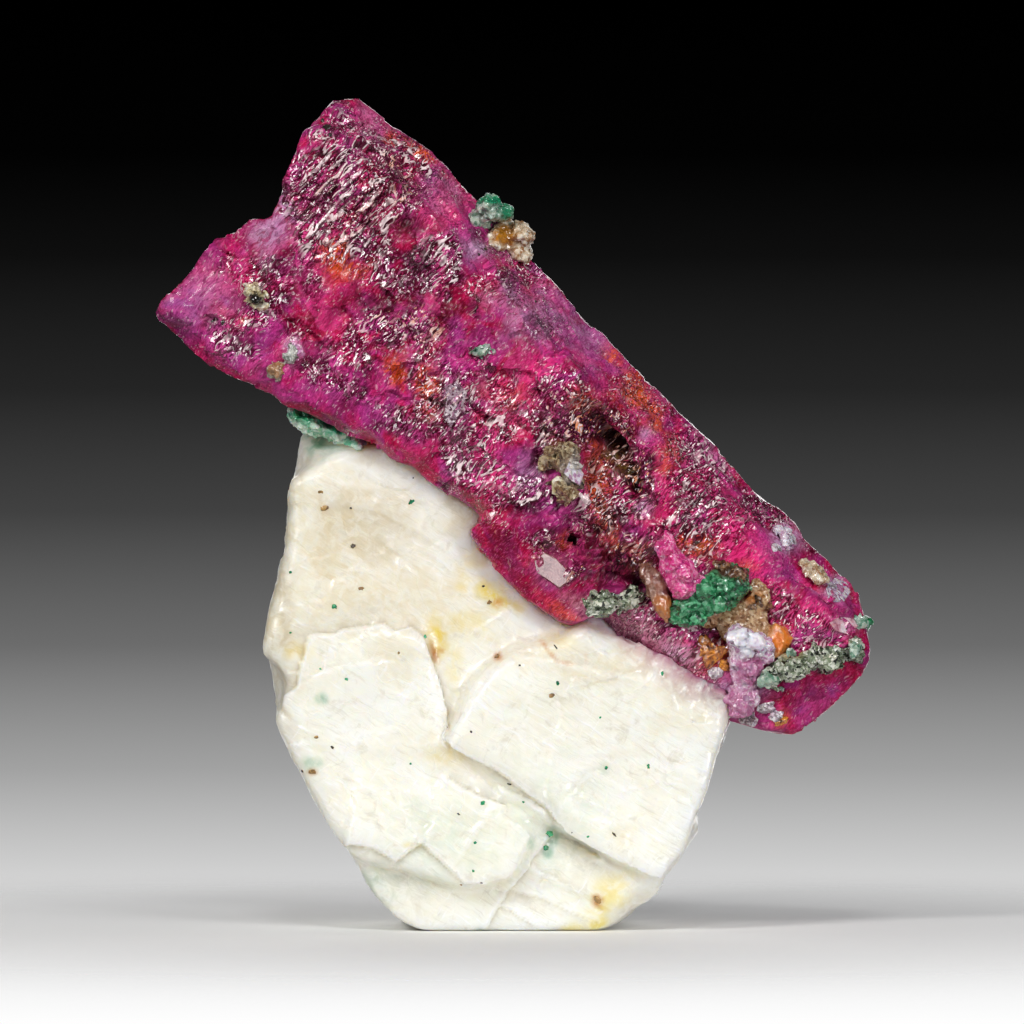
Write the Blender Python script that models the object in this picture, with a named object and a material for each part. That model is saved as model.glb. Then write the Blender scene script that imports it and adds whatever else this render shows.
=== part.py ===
"""A ruby crystal grown on a broken piece of white calcite, with its small accessory minerals.

Metres, +Z up, the specimen standing on the flat broken foot of the calcite at z = 0 and facing -Y.
The ruby is a tapering six-sided crystal that lies slanting across the top of the calcite. Sizes below
are in millimetres, and MM turns them into metres.
"""

import math

import bmesh
import bpy
from mathutils import Matrix, Vector, noise

MM = 0.001

# The ruby crystal is measured in its own frame: X runs down the crystal from its wide flat end, Y runs
# across it towards its upper right edge, and Z points out of the front face.
CRYSTAL_DIP = math.radians(41.5)
CRYSTAL_END = Vector((-12.95, -2.2, 36.1))
FACE_SLOPE = math.tan(math.radians(60))

# Distance down the crystal, left edge, right edge, front face, back face, left and right face widths.
CRYSTAL_STATIONS = (
    (-1.5, -7.45, 7.1, 4.6, -4.8, 0.7, 2.3),
    (0.0, -7.4, 7.45, 4.8, -5.0, 0.7, 2.4),
    (4.7, -7.15, 8.05, 5.0, -5.3, 0.7, 2.6),
    (8.5, -6.0, 7.8, 5.0, -5.2, 0.7, 2.6),
    (14.3, -4.45, 7.1, 4.8, -4.8, 0.8, 2.5),
    (20.4, -3.75, 6.6, 4.5, -4.4, 0.9, 2.4),
    (27.1, -4.3, 6.2, 4.2, -4.0, 1.3, 2.2),
    (34.6, -3.5, 5.8, 3.7, -3.5, 1.2, 2.0),
    (39.5, -2.9, 5.0, 1.9, -3.1, 0.8, 1.2),
)

# The two ends, as across, along pairs: the wide end has a notch, and the narrow end is rounded off.
WIDE_END = (
    (-7.8, 0.0), (-3.7, -0.3), (-2.15, -0.45), (-1.75, -0.1), (-0.75, 0.2), (0.1, 1.45),
    (0.9, 0.85), (1.9, 0.4), (3.25, -0.25), (4.1, -0.5), (5.1, -0.15), (6.6, -0.35), (8.4, 0.1),
)
NARROW_END = (
    (-4.6, 34.0), (-3.0, 35.4), (-2.7, 36.2), (-1.7, 37.6), (-0.5, 38.0), (2.3, 38.2),
    (3.4, 38.0), (4.2, 37.4), (4.9, 36.4), (5.6, 35.4), (6.6, 34.4),
)

# Thin growth terraces on the wide end: radius and depth of each, worn into its flat face.
TERRACES = ((6.2, 0.28), (4.1, 0.3))
TERRACE_CENTRE = Vector((-1.0, 0.5))

# The tabular side crystal whose edge stands out over the calcite, as along, across pairs.
SIDE_PLATE = (
    (18.6, -4.85), (19.7, -5.15), (21.8, -5.25), (23.9, -5.35), (25.6, -5.1), (25.95, -4.2),
    (26.6, -2.0), (24.5, 0.5), (19.5, 0.5),
)
SIDE_PLATE_FRONT, SIDE_PLATE_BACK = 4.85, 0.6

# Hollows etched into the front face: along, across, radius, depth.
HOLLOWS = (
    (21.4, 2.9, 2.6, 2.0),
    (23.1, -1.6, 1.7, 1.5),
    (22.9, 4.2, 1.3, 0.9),
    (26.9, -1.7, 1.7, 0.9),
    (32.0, 0.2, 2.9, 0.8),
    (8.6, 3.1, 1.6, 0.5),
    (14.9, 1.3, 1.3, 0.6),
    (16.8, -2.6, 1.4, 0.5),
)

# Flat growth plates that stand up from the front face: along, across, half length, half width, height.
PLATES = (
    (6.4, 4.7, 1.7, 1.6, 0.32),
    (11.8, -1.0, 2.6, 1.5, 0.28),
    (16.0, 3.7, 2.3, 1.3, 0.3),
    (25.8, 3.6, 1.5, 1.6, 0.32),
    (3.2, -4.2, 2.1, 1.3, 0.28),
    (35.4, 3.6, 1.3, 1.1, 0.3),
)

# Growth steps run across the crystal on part of its front face: spacing and height, and then the
# zones that show them, as along, across, radius.
STEP_SPACING, STEP_HEIGHT = 0.95, 0.42
STEP_ZONES = ((4.6, 2.8, 5.6), (12.2, 3.8, 3.2), (17.3, -0.8, 3.2), (29.2, 4.0, 3.4), (9.6, -3.2, 2.6))

# Facets that break up a surface: size, lean and level. Those of the ruby are narrow along it.
RUBY_FACETS = ((3.6, 0.035, 0.1), (1.5, 0.085, 0.08))
RUBY_STRETCH = Vector((1.5, 0.75, 1.0))
QUIET_FACES = 0.55
CALCITE_FACETS = ((7.0, 0.022, 0.06), (2.6, 0.022, 0.03))
BROKEN_BACK = 3.0

RUBY_FACES, CALCITE_FACES, LOBE_FACES = 4200, 1700, 25
VOXEL, GRAIN_VOXEL = 0.26 * MM, 0.11 * MM
GAP = 0.1 * MM

# The calcite is a stack of cleaved blocks. Each has its outline seen from the front (across, up), its
# front and back, how far its front face leans back across and up, and the width of its broken rim.
CALCITE_BLOCKS = {
    "core": (
        ((-10.5, 24.9), (-7.6, 26.4), (-2.0, 25.2), (5.0, 19.0), (9.4, 15.2), (10.9, 11.6), (10.3, 8.4),
         (9.3, 5.2), (7.8, 2.8), (5.6, 0.7), (3.8, -0.5), (-0.6, -0.6), (-3.8, -0.3), (-5.6, 0.7),
         (-7.2, 2.7), (-9.0, 5.2), (-10.4, 8.3), (-11.7, 10.7), (-12.2, 13.9), (-11.3, 18.4), (-10.9, 22.4)),
        -4.6, 6.6, 0.0, 0.04, 1.6),
    "saddle": (
        ((-10.4, 21.0), (-9.4, 25.2), (-6.2, 28.6), (-2.4, 26.8), (3.2, 21.2), (8.6, 16.2), (10.4, 11.6),
         (9.6, 6.6), (5.6, 2.0), (-4.4, 2.4), (-9.0, 8.0), (-11.4, 14.0)),
        1.0, 7.5, 0.0, 0.0, 1.1),
    "shoulder": (
        ((-11.1, 22.4), (-9.8, 23.4), (-8.4, 24.3), (-5.0, 24.4), (-0.6, 21.8), (2.6, 18.6), (5.6, 15.4),
         (2.2, 10.0), (-2.6, 8.6), (-9.0, 10.0), (-12.3, 13.6), (-12.1, 15.8), (-11.3, 18.6)),
        -5.6, 4.0, 0.05, 0.07, 0.5),
    "lobe": (
        ((-11.4, 12.0), (-10.4, 13.7), (-9.4, 14.4), (-8.6, 14.1), (-7.4, 14.6), (-6.1, 15.2), (-4.9, 14.8),
         (-4.1, 13.5), (-3.6, 11.6), (-3.2, 9.4), (-1.0, 6.6), (1.0, 4.8), (-0.2, 2.6), (-2.2, 2.2),
         (-5.6, 3.1), (-7.7, 3.8), (-9.2, 5.6), (-10.4, 7.9), (-11.8, 10.4)),
        -6.5, 3.0, -0.06, 0.05, 0.4),
    "flank": (
        ((-3.1, 9.3), (-2.0, 12.4), (0.6, 14.2), (3.9, 15.1), (6.4, 13.9), (8.4, 13.0), (10.1, 12.6),
         (10.8, 10.2), (10.2, 8.6), (9.5, 6.4), (8.3, 3.7), (7.3, 2.4), (6.4, 2.9), (1.9, 5.5), (-0.2, 7.2)),
        -6.8, 5.0, 0.06, 0.02, 0.4),
    "heel": (
        ((-7.7, 3.7), (-5.5, 3.0), (-2.2, 2.1), (1.4, 2.9), (6.6, 2.6), (7.5, 2.0), (5.2, 0.3), (4.2, -0.6),
         (-0.9, -0.7), (-1.7, -0.2), (-2.4, 0.3), (-3.1, -0.5), (-4.1, -0.5), (-5.9, 0.7), (-6.9, 1.8)),
        -5.4, 7.0, 0.03, 0.05, 0.5),
}

# Parallel cleavage slabs step down the lower right of the calcite, each a little further back than the
# one before. Their corner is that of the first, and their starts and lengths run along the cleavage.
CLEAVAGE_ANGLE = math.radians(-29)
SLAB_CORNER = Vector((-3.2, 9.4))
SLABS = ((0.5, 6.0), (0.8, 11.2), (1.6, 6.0), (3.4, 7.0), (5.0, 4.6))
SLAB_WIDTH, SLAB_FRONT, SLAB_DROP, SLAB_LEAP = 1.5, -6.35, 0.3, 0.6

# The accessory minerals on the ruby. Each is one or more lobes fused together, placed on the ruby's
# surface: form, along, across, rise, length, width, height, and its turn on the face in degrees.
GRAINS = {
    "rose_crystal": ("rose", (
        ("shard", 27.0, 0.85, 0.5, 2.3, 1.4, 1.7, -25), ("shard", 28.3, 0.35, 0.6, 2.1, 2.0, 1.8, -15))),
    "green_mica": ("green", (
        ("lump", 30.2, 1.6, 0.3, 2.3, 2.2, 1.6, 81), ("book", 29.8, 0.6, 0.8, 2.5, 2.1, 0.8, 60),
        ("lump", 29.6, -0.7, 0.2, 1.7, 1.8, 1.5, 60), ("book", 29.3, -1.1, 0.5, 1.4, 1.2, 0.8, 20))),
    "amber_calcite": ("amber", (
        ("lump", 31.9, 0.9, 0.15, 3.6, 3.0, 1.6, 14), ("lump", 31.5, 2.2, 0.0, 2.0, 2.0, 1.2, 30),
        ("lump", 32.0, -1.5, 0.2, 1.3, 1.3, 1.2, 0), ("lump", 34.0, 1.2, 0.15, 1.4, 1.8, 1.2, 40))),
    "lilac_calcite": ("lilac", (
        ("lump", 32.6, 0.0, 0.9, 1.7, 1.5, 1.5, 0), ("lump", 33.5, 0.3, 0.8, 1.6, 1.5, 1.4, 40),
        ("lump", 33.6, -0.9, 0.4, 2.4, 1.8, 1.3, -30), ("lump", 34.5, -2.2, 0.3, 1.7, 2.0, 1.1, 30))),
    "olive_mica": ("olive", (
        ("lump", 34.9, -0.6, 0.5, 1.1, 0.9, 1.1, 0), ("book", 35.3, 0.6, 0.4, 2.0, 1.4, 0.8, 40),
        ("lump", 35.8, 1.6, 0.2, 1.3, 1.3, 1.2, 80), ("book", 36.5, 2.3, 0.4, 1.4, 1.8, 0.8, 10),
        ("lump", 37.1, 3.4, 0.1, 1.1, 1.4, 1.1, 60))),
    "green_knob": ("green", (
        ("lump", 8.8, 7.75, 0.3, 1.5, 1.3, 1.9, 0), ("lump", 8.9, 7.0, 0.4, 1.3, 1.3, 1.6, 30),
        ("lump", 9.5, 8.1, -0.2, 1.2, 1.1, 1.6, 30))),
    "pale_knob": ("buff", (
        ("lump", 10.5, 7.5, 0.5, 1.7, 1.5, 2.0, 20), ("lump", 11.3, 7.2, 0.4, 1.6, 1.4, 1.9, -30),
        ("lump", 10.2, 6.8, 0.3, 1.4, 1.2, 1.4, 0), ("lump", 10.9, 8.0, -0.5, 1.5, 1.2, 1.6, 0))),
    "tan_mica": ("tan", (
        ("book", 19.7, 0.8, 0.4, 2.4, 1.1, 0.8, 75), ("book", 20.8, 0.5, 0.4, 1.7, 1.2, 0.7, -60),
        ("lump", 21.0, -0.3, 0.2, 1.2, 1.1, 0.9, 0))),
    "grey_mica": ("olive", (
        ("book", 26.2, -3.2, 0.5, 1.7, 1.2, 0.9, 40), ("book", 27.1, -2.2, 0.5, 1.6, 1.0, 0.9, -70),
        ("lump", 26.6, -2.7, 0.1, 1.6, 0.9, 0.9, 50))),
    "brown_shard": ("brown", (("shard", 27.9, -1.0, 0.45, 3.2, 1.3, 1.2, -21),)),
    "buff_grain": ("buff", (("lump", 33.1, 4.8, 0.25, 1.7, 1.2, 1.0, 14),)),
    "white_crust": ("white", (("lump", 30.7, 5.1, 0.0, 1.5, 1.3, 0.7, 0), ("lump", 31.4, 5.5, 0.0, 1.3, 1.1, 0.8, 30))),
    "green_bead": ("green", (("lump", 36.7, 4.7, 0.0, 0.9, 0.8, 0.9, 0),)),
    "left_mica": ("tan", (("book", 3.2, -3.2, 0.25, 1.7, 0.9, 0.8, -18),)),
    "grey_crust": ("olive", (("lump", 6.4, -4.1, 0.1, 1.2, 0.8, 0.7, -50), ("lump", 6.4, -5.2, 0.1, 1.1, 0.9, 0.7, -50))),
    "green_flake": ("green", (("book", 13.4, 2.2, 0.2, 1.7, 0.5, 0.5, 50),)),
    "green_seam": ("green", (
        ("lump", 9.2, -6.1, 0.3, 2.2, 1.2, 1.8, 11), ("lump", 10.6, -5.7, 0.2, 2.2, 0.9, 1.4, 20),
        ("lump", 11.8, -5.4, 0.1, 1.8, 0.7, 1.2, 14))),
}
GRAIN_FACETS = ((0.8, 0.11, 0.14),)

# How far out a lobe sits that lies beyond the edge of the ruby.
CRYSTAL_EDGE_DEPTH = 2.2

# Colour and roughness of each finish.
FINISHES = {
    "ruby": ((0.36, 0.02, 0.15), 0.25),
    "calcite": ((0.86, 0.83, 0.76), 0.45),
    "rose": ((0.72, 0.07, 0.3), 0.25),
    "green": ((0.05, 0.26, 0.12), 0.4),
    "amber": ((0.42, 0.2, 0.08), 0.35),
    "lilac": ((0.66, 0.5, 0.66), 0.35),
    "olive": ((0.24, 0.28, 0.16), 0.45),
    "white": ((0.8, 0.76, 0.78), 0.5),
    "buff": ((0.66, 0.56, 0.42), 0.5),
    "tan": ((0.5, 0.38, 0.24), 0.4),
    "brown": ((0.24, 0.09, 0.05), 0.3),
}


def finished(name, mesh):
    """Links a bmesh as an object, with its faces pointing out."""
    bmesh.ops.recalc_face_normals(mesh, faces=mesh.faces)
    data = bpy.data.meshes.new(name)
    mesh.to_mesh(data)
    mesh.free()
    if signed_volume(data) < 0:
        data.flip_normals()
    obj = bpy.data.objects.new(name, data)
    bpy.context.scene.collection.objects.link(obj)
    return obj


def signed_volume(data):
    """Six times the volume of a closed mesh, negative where its faces point in."""
    data.calc_loop_triangles()
    points = [v.co for v in data.vertices]
    corners = (t.vertices for t in data.loop_triangles)
    return sum(points[a].dot(points[b].cross(points[c])) for a, b, c in corners)


def skin(name, rings):
    """A closed solid through rings of points, each ring with the same number of points."""
    mesh = bmesh.new()
    loops = [[mesh.verts.new(point * MM) for point in ring] for ring in rings]
    for first, second in zip(loops, loops[1:]):
        for i in range(len(first)):
            j = (i + 1) % len(first)
            mesh.faces.new((first[j], first[i], second[i], second[j]))
    mesh.faces.new(loops[0])
    mesh.faces.new(reversed(loops[-1]))
    return finished(name, mesh)


def freeze(obj):
    """Replaces an object's mesh by its evaluated one, and clears its modifiers."""
    bpy.context.view_layer.update()
    graph = bpy.context.evaluated_depsgraph_get()
    data = bpy.data.meshes.new_from_object(obj.evaluated_get(graph))
    obj.modifiers.clear()
    obj.data = data
    return obj


def boolean(obj, other, operation):
    """Joins or cuts obj with another object."""
    modifier = obj.modifiers.new(operation.title(), "BOOLEAN")
    modifier.operation = operation
    modifier.solver = "EXACT"
    modifier.object = other
    return freeze(obj)


def join(obj, other):
    """Joins another object to obj, and removes it."""
    boolean(obj, other, "UNION")
    bpy.data.objects.remove(other)
    return obj


def cut(obj, other):
    """Cuts another object out of obj, and removes it."""
    boolean(obj, other, "DIFFERENCE")
    bpy.data.objects.remove(other)
    return obj


def even_mesh(obj, size):
    """Gives an object an even mesh of small faces."""
    modifier = obj.modifiers.new("Even", "REMESH")
    modifier.mode = "VOXEL"
    modifier.voxel_size = size
    return freeze(obj)


def fewer_faces(obj, count):
    """Merges flat areas into larger facets until about this many triangles are left."""
    obj.modifiers.new("Triangles", "TRIANGULATE")
    freeze(obj)
    modifier = obj.modifiers.new("Facets", "DECIMATE")
    modifier.ratio = min(1.0, count / len(obj.data.polygons))
    return freeze(obj)


def fade(distance, radius):
    """1 at the middle of a zone, falling smoothly to 0 at its radius."""
    share = max(0.0, 1.0 - distance / radius)
    return share * share * (3 - 2 * share)


def facet_relief(point, size, lean, level):
    """Height of a surface broken into flat facets of this size, each with its own lean and level."""
    spot = point / size
    centre = noise.voronoi(spot)[1][0]
    way = 2 * noise.cell_vector(centre * 97.3) - Vector((1, 1, 1))
    return size * lean * 2 * way.dot(spot - centre) + level * (way.x + way.y) / 2


def displace(obj, height):
    """Moves each vertex along its normal by height(point, normal), in millimetres."""
    moved = [v.co + v.normal * height(v.co / MM, v.normal) * MM for v in obj.data.vertices]
    for vertex, point in zip(obj.data.vertices, moved):
        vertex.co = point
    obj.data.update()
    return obj


def grown(obj, distance):
    """A copy of an object, larger by this distance on every side, for use as a cutter."""
    copy = bpy.data.objects.new(f"{obj.name}_room", obj.data.copy())
    copy.matrix_world = obj.matrix_world
    bpy.context.scene.collection.objects.link(copy)
    copy.hide_render = True
    copy.display_type = "WIRE"
    for vertex in copy.data.vertices:
        vertex.co += vertex.normal * distance
    return copy


def largest_body(obj):
    """Keeps the largest connected body of a mesh, and drops the crumbs that a cut left behind."""
    mesh = bmesh.new()
    mesh.from_mesh(obj.data)
    unseen, bodies = set(mesh.verts), []
    while unseen:
        body, rim = set(), {next(iter(unseen))}
        while rim:
            body |= rim
            rim = {edge.other_vert(vertex) for vertex in rim for edge in vertex.link_edges} - body
        unseen -= body
        bodies.append(body)
    bodies.sort(key=len)
    crumbs = [vertex for body in bodies[:-1] for vertex in body]
    bmesh.ops.delete(mesh, geom=crumbs, context="VERTS")
    mesh.to_mesh(obj.data)
    mesh.free()
    return obj


def crystal_matrix():
    """Places the crystal's own frame in the specimen."""
    along = Vector((math.cos(CRYSTAL_DIP), 0, -math.sin(CRYSTAL_DIP)))
    across = Vector((math.sin(CRYSTAL_DIP), 0, math.cos(CRYSTAL_DIP)))
    matrix = Matrix((along, across, along.cross(across))).transposed().to_4x4()
    matrix.translation = CRYSTAL_END * MM
    return matrix


def hexagon(low, high, front, back, left, right):
    """Corners of an uneven six-sided section whose faces all meet at 120 degrees."""
    left_depth, right_depth = front - left * FACE_SLOPE, front - right * FACE_SLOPE
    return (
        (low + left, front),
        (high - right, front),
        (high, right_depth),
        (high - (right_depth - back) / FACE_SLOPE, back),
        (low + (left_depth - back) / FACE_SLOPE, back),
        (low, left_depth),
    )


def crystal_prism():
    """The six-sided tapering prism, skinned over its stations."""
    return skin("ruby_crystal", [
        [Vector((along, across, out)) for across, out in hexagon(*section)]
        for along, *section in CRYSTAL_STATIONS
    ])


def past_the_end(name, profile, beyond):
    """All that lies past an end profile of the crystal, through its whole depth."""
    outline = [*profile, (profile[-1][0] + 2, beyond), (profile[0][0] - 2, beyond)]
    return skin(name, [[Vector((along, across, out)) for across, along in outline] for out in (8, -8)])


def ruby_height(point, normal):
    """Etched relief of the ruby: facets all over, growth steps, plates and hollows on the front."""
    front = max(0.0, normal.z)
    spot = point * RUBY_STRETCH
    height = sum(facet_relief(spot, *facets) for facets in RUBY_FACETS)
    height *= QUIET_FACES + (1 - QUIET_FACES) * front
    for along, across, radius in STEP_ZONES:
        zone = fade(math.hypot(point.x - along, point.y - across), radius)
        phase = point.x / STEP_SPACING + 0.6 * noise.noise(point / 2.2) + 0.12 * point.y
        height += front * zone * STEP_HEIGHT * (phase % 1.0 - 0.5)
    for along, across, radius, depth in HOLLOWS:
        ragged = radius * (1 + 0.4 * noise.noise(point / 1.2 + Vector((7, 3, 0))))
        height -= front * depth * fade(math.hypot(point.x - along, point.y - across), ragged)
    for along, across, half_length, half_width, rise in PLATES:
        if front > 0.6 and abs(point.x - along) < half_length and abs(point.y - across) < half_width:
            height += rise
    if normal.x < -0.7:
        reach = (Vector((point.y, point.z)) - TERRACE_CENTRE).length + 0.5 * noise.noise(point / 2)
        height -= sum(depth for radius, depth in TERRACES if reach < radius)
    return height


def build_ruby():
    """The ruby crystal with its side plate, notched end and etched surface, as one solid."""
    ruby = crystal_prism()
    plate = skin("side_plate", [
        [Vector((along, across, out)) for along, across in SIDE_PLATE]
        for out in (SIDE_PLATE_FRONT, SIDE_PLATE_BACK)
    ])
    join(ruby, plate)
    cut(ruby, past_the_end("wide_end", WIDE_END, -5))
    cut(ruby, past_the_end("narrow_end", NARROW_END, 45))
    even_mesh(ruby, VOXEL)
    displace(ruby, ruby_height)
    fewer_faces(ruby, RUBY_FACES)
    ruby.matrix_world = crystal_matrix()
    bpy.context.view_layer.update()
    return ruby


def cleaved_block(name, outline, front, back, lean_across, lean_up, rim):
    """A cleaved block: a front face that leans, a chamfered broken rim, and a narrower back."""
    corners = [Vector(corner) for corner in outline]
    centre = sum(corners, Vector((0, 0))) / len(corners)

    def ring(shrink, depth):
        spots = [corner + (centre - corner).normalized() * shrink for corner in corners]
        leans = [(spot - centre).dot(Vector((lean_across, lean_up))) for spot in spots]
        return [Vector((spot.x, depth + lean, spot.y)) for spot, lean in zip(spots, leans)]

    return skin(name, (ring(rim * 0.7, front), ring(0, front + rim), ring(0, back - 2.5 * rim), ring(rim * 2, back)))


def cleavage_slab(index, start, length):
    """One of the parallel slabs that step down the lower right of the calcite."""
    run = Vector((math.cos(CLEAVAGE_ANGLE), math.sin(CLEAVAGE_ANGLE)))
    side = Vector((run.y, -run.x))
    corner = SLAB_CORNER + side * SLAB_WIDTH * index + run * start
    far = side * SLAB_WIDTH * 1.3
    outline = (corner, corner + run * length, corner + run * (length - SLAB_LEAP) + far, corner - run * SLAB_LEAP + far)
    return cleaved_block(f"slab_{index}", outline, SLAB_FRONT + SLAB_DROP * index, 2.0, 0.05, 0.05, 0.2)


def calcite_height(point, normal):
    """Broken relief of the calcite, rougher at the back."""
    return (1 + BROKEN_BACK * max(0.0, normal.y)) * sum(facet_relief(point, *facets) for facets in CALCITE_FACETS)


def flat_foot(obj):
    """Cuts an object off flat at z = 0, where the specimen stands."""
    mesh = bmesh.new()
    mesh.from_mesh(obj.data)
    geometry = [*mesh.verts, *mesh.edges, *mesh.faces]
    cut = bmesh.ops.bisect_plane(mesh, geom=geometry, plane_co=(0, 0, 0), plane_no=(0, 0, 1), clear_inner=True)
    rim = [edge for edge in cut["geom_cut"] if isinstance(edge, bmesh.types.BMEdge)]
    bmesh.ops.triangle_fill(mesh, use_beauty=True, edges=rim)
    bmesh.ops.recalc_face_normals(mesh, faces=mesh.faces)
    mesh.to_mesh(obj.data)
    mesh.free()
    return obj


def build_calcite(ruby_room):
    """The calcite: cleaved blocks joined, broken, cut flat below and hollowed for the ruby."""
    blocks = [cleaved_block(name, *block) for name, block in CALCITE_BLOCKS.items()]
    blocks += [cleavage_slab(index, *slab) for index, slab in enumerate(SLABS)]
    calcite = blocks[0]
    for block in blocks[1:]:
        join(calcite, block)
    calcite.name = "calcite_matrix"
    even_mesh(calcite, VOXEL)
    displace(calcite, calcite_height)
    fewer_faces(calcite, CALCITE_FACES)
    flat_foot(calcite)
    boolean(calcite, ruby_room, "DIFFERENCE")
    return largest_body(calcite)


def lump(name, size):
    """A rounded, broken grain."""
    mesh = bmesh.new()
    bmesh.ops.create_icosphere(mesh, subdivisions=3, radius=0.5 * MM)
    bmesh.ops.scale(mesh, vec=size, verts=mesh.verts)
    return finished(name, mesh)


def stack(name, size, layers):
    """A solid through six-sided layers, each given as its height, its width and its turn."""
    return skin(name, [
        [Vector((size.x * wide / 2 * math.cos(turn), size.y * wide / 2 * math.sin(turn), size.z * up))
         for turn in (twist + math.pi / 3 * corner for corner in range(6))]
        for up, wide, twist in layers
    ])


def book(name, size):
    """A short stack of mica flakes, each six-sided and a little out of line."""
    return stack(name, size, (
        (-0.5, 1.0, 0.0), (0.0, 1.0, 0.0), (0.04, 0.82, 0.35), (0.3, 0.82, 0.35), (0.34, 0.6, 0.8), (0.5, 0.55, 0.8)))


def shard(name, size):
    """A small six-sided crystal that narrows to both ends, lying along X."""
    upright = stack(name, Vector((size.z, size.y, size.x)), ((-0.5, 0.3, 0), (-0.36, 0.85, 0), (0.28, 1, 0), (0.5, 0.45, 0)))
    upright.data.transform(Matrix.Rotation(math.pi / 2, 4, "Y"))
    return upright


def fuse(name, pieces):
    """Fuses overlapping pieces into one even mesh."""
    mesh = bmesh.new()
    for piece in pieces:
        mesh.from_mesh(piece.data)
        bpy.data.objects.remove(piece)
    return even_mesh(finished(name, mesh), GRAIN_VOXEL)


def build_grain(name, finish, lobes, ruby, rooms):
    """An accessory mineral: its lobes fused on the ruby's surface, and cut clear of its neighbours."""
    forms = {"lump": lump, "shard": shard, "book": book}
    pieces = []
    for form, along, across, rise, length, width, height, turn in lobes:
        piece = forms[form](f"{name}_lobe", Vector((length, width, height)))
        hit, surface, _, _ = ruby.ray_cast(Vector((along, across, 20)) * MM, Vector((0, 0, -1)))
        level = surface.z if hit else CRYSTAL_EDGE_DEPTH * MM
        piece.data.transform(Matrix.Rotation(math.radians(turn), 4, "Z"))
        piece.data.transform(Matrix.Translation((along * MM, across * MM, level + rise * MM)))
        pieces.append(piece)
    grain = fuse(name, pieces)
    displace(grain, lambda point, normal: sum(facet_relief(point, *facets) for facets in GRAIN_FACETS))
    fewer_faces(grain, LOBE_FACES * (1 + len(lobes)))
    grain.data.transform(ruby.matrix_world)
    room = grown(grain, GAP)
    for other in rooms:
        boolean(grain, other, "DIFFERENCE")
    largest_body(grain)
    grain.data.materials.append(finish)
    return room


def finishes():
    """The plain stone finishes, by name."""
    made = {}
    for name, (colour, roughness) in FINISHES.items():
        made[name] = bpy.data.materials.new(name)
        made[name].use_nodes = True
        shader = made[name].node_tree.nodes["Principled BSDF"]
        shader.inputs["Base Color"].default_value = (*colour, 1)
        shader.inputs["Roughness"].default_value = roughness
        shader.inputs["Metallic"].default_value = 0
    return made


def main():
    """Clears the scene and builds the specimen."""
    for obj in list(bpy.data.objects):
        bpy.data.objects.remove(obj)
    finish = finishes()
    ruby = build_ruby()
    ruby.data.materials.append(finish["ruby"])
    rooms = [grown(ruby, GAP)]
    calcite = build_calcite(rooms[0])
    calcite.data.materials.append(finish["calcite"])
    rooms.append(grown(calcite, GAP))
    for name, (colour, lobes) in GRAINS.items():
        rooms.append(build_grain(name, finish[colour], lobes, ruby, rooms))
    for room in rooms:
        bpy.data.objects.remove(room)


main()
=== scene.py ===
"""Dresses the ruby on calcite: its etched faces, its broken matrix and its small minerals.

Lengths are in millimetres until a mesh or a light is made, and MM turns them into metres.
"""

import logging
import math
from dataclasses import dataclass
from enum import Enum
from itertools import product
from typing import Callable, Dict, Iterable, Optional, Sequence, Tuple, Union

import bmesh
import bpy
import numpy as np
from mathutils import Matrix, Vector
from mathutils.bvhtree import BVHTree


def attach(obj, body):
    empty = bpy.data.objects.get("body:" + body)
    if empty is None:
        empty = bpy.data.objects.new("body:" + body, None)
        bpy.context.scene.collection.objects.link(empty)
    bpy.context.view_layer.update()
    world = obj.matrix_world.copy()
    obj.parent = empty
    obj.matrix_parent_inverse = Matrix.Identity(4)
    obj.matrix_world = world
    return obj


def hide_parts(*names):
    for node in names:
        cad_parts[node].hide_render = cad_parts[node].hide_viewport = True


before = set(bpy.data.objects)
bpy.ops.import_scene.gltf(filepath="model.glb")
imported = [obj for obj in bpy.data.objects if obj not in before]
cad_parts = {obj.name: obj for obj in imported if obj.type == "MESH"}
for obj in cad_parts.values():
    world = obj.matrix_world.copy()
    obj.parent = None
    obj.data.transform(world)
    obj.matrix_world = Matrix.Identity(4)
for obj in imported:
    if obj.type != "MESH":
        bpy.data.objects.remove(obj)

# A millimetre in metres
MM = 0.001
# Where rays towards the displayed face start, in millimetres
IN_FRONT = -40.0
# More than any distance that is looked for
FAR = 99.0
# Moves noise from 0 to 1 so that its middle is at 0
CENTRED = (-0.5, -0.5, -0.5)
LOG = logging.getLogger("specimen")

Colour = Tuple[float, float, float]
Triple = Tuple[float, float, float]
Socket = bpy.types.NodeSocket
Feed = Union[Socket, float, Sequence[float]]
Noise = Union[np.ndarray, float]
WHITE: Colour = (1.0, 1.0, 1.0)


# Noise in arrays of points


# Factors that mix whole numbers into random ones
AXIS_FACTORS = (73856093, 19349663, 83492791)
SEED_FACTOR, MIX_FACTOR = 2654435761, 2246822519
LOW_BITS = 0xFFFFFF


def scatter(cells: np.ndarray, seed: int) -> np.ndarray:
    """Fixed random numbers for whole-number cells.

    Args:
        cells: Whole numbers, three to a row.
        seed: Picks one set of numbers.

    Returns:
        Three numbers from 0 to 1 for each row.
    """
    whole = cells.astype(np.int64).view(np.uint64)
    mixed = np.full(len(cells), seed * SEED_FACTOR + 97, np.uint64)
    for column, factor in enumerate(AXIS_FACTORS):
        mixed ^= whole[:, column] * np.uint64(factor)
    numbers = np.empty((len(cells), 3))
    for column in range(3):
        mixed = (mixed ^ (mixed >> np.uint64(15))) * np.uint64(MIX_FACTOR)
        mixed ^= mixed >> np.uint64(13)
        numbers[:, column] = (mixed & np.uint64(LOW_BITS)).astype(float) / LOW_BITS
    return numbers


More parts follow.
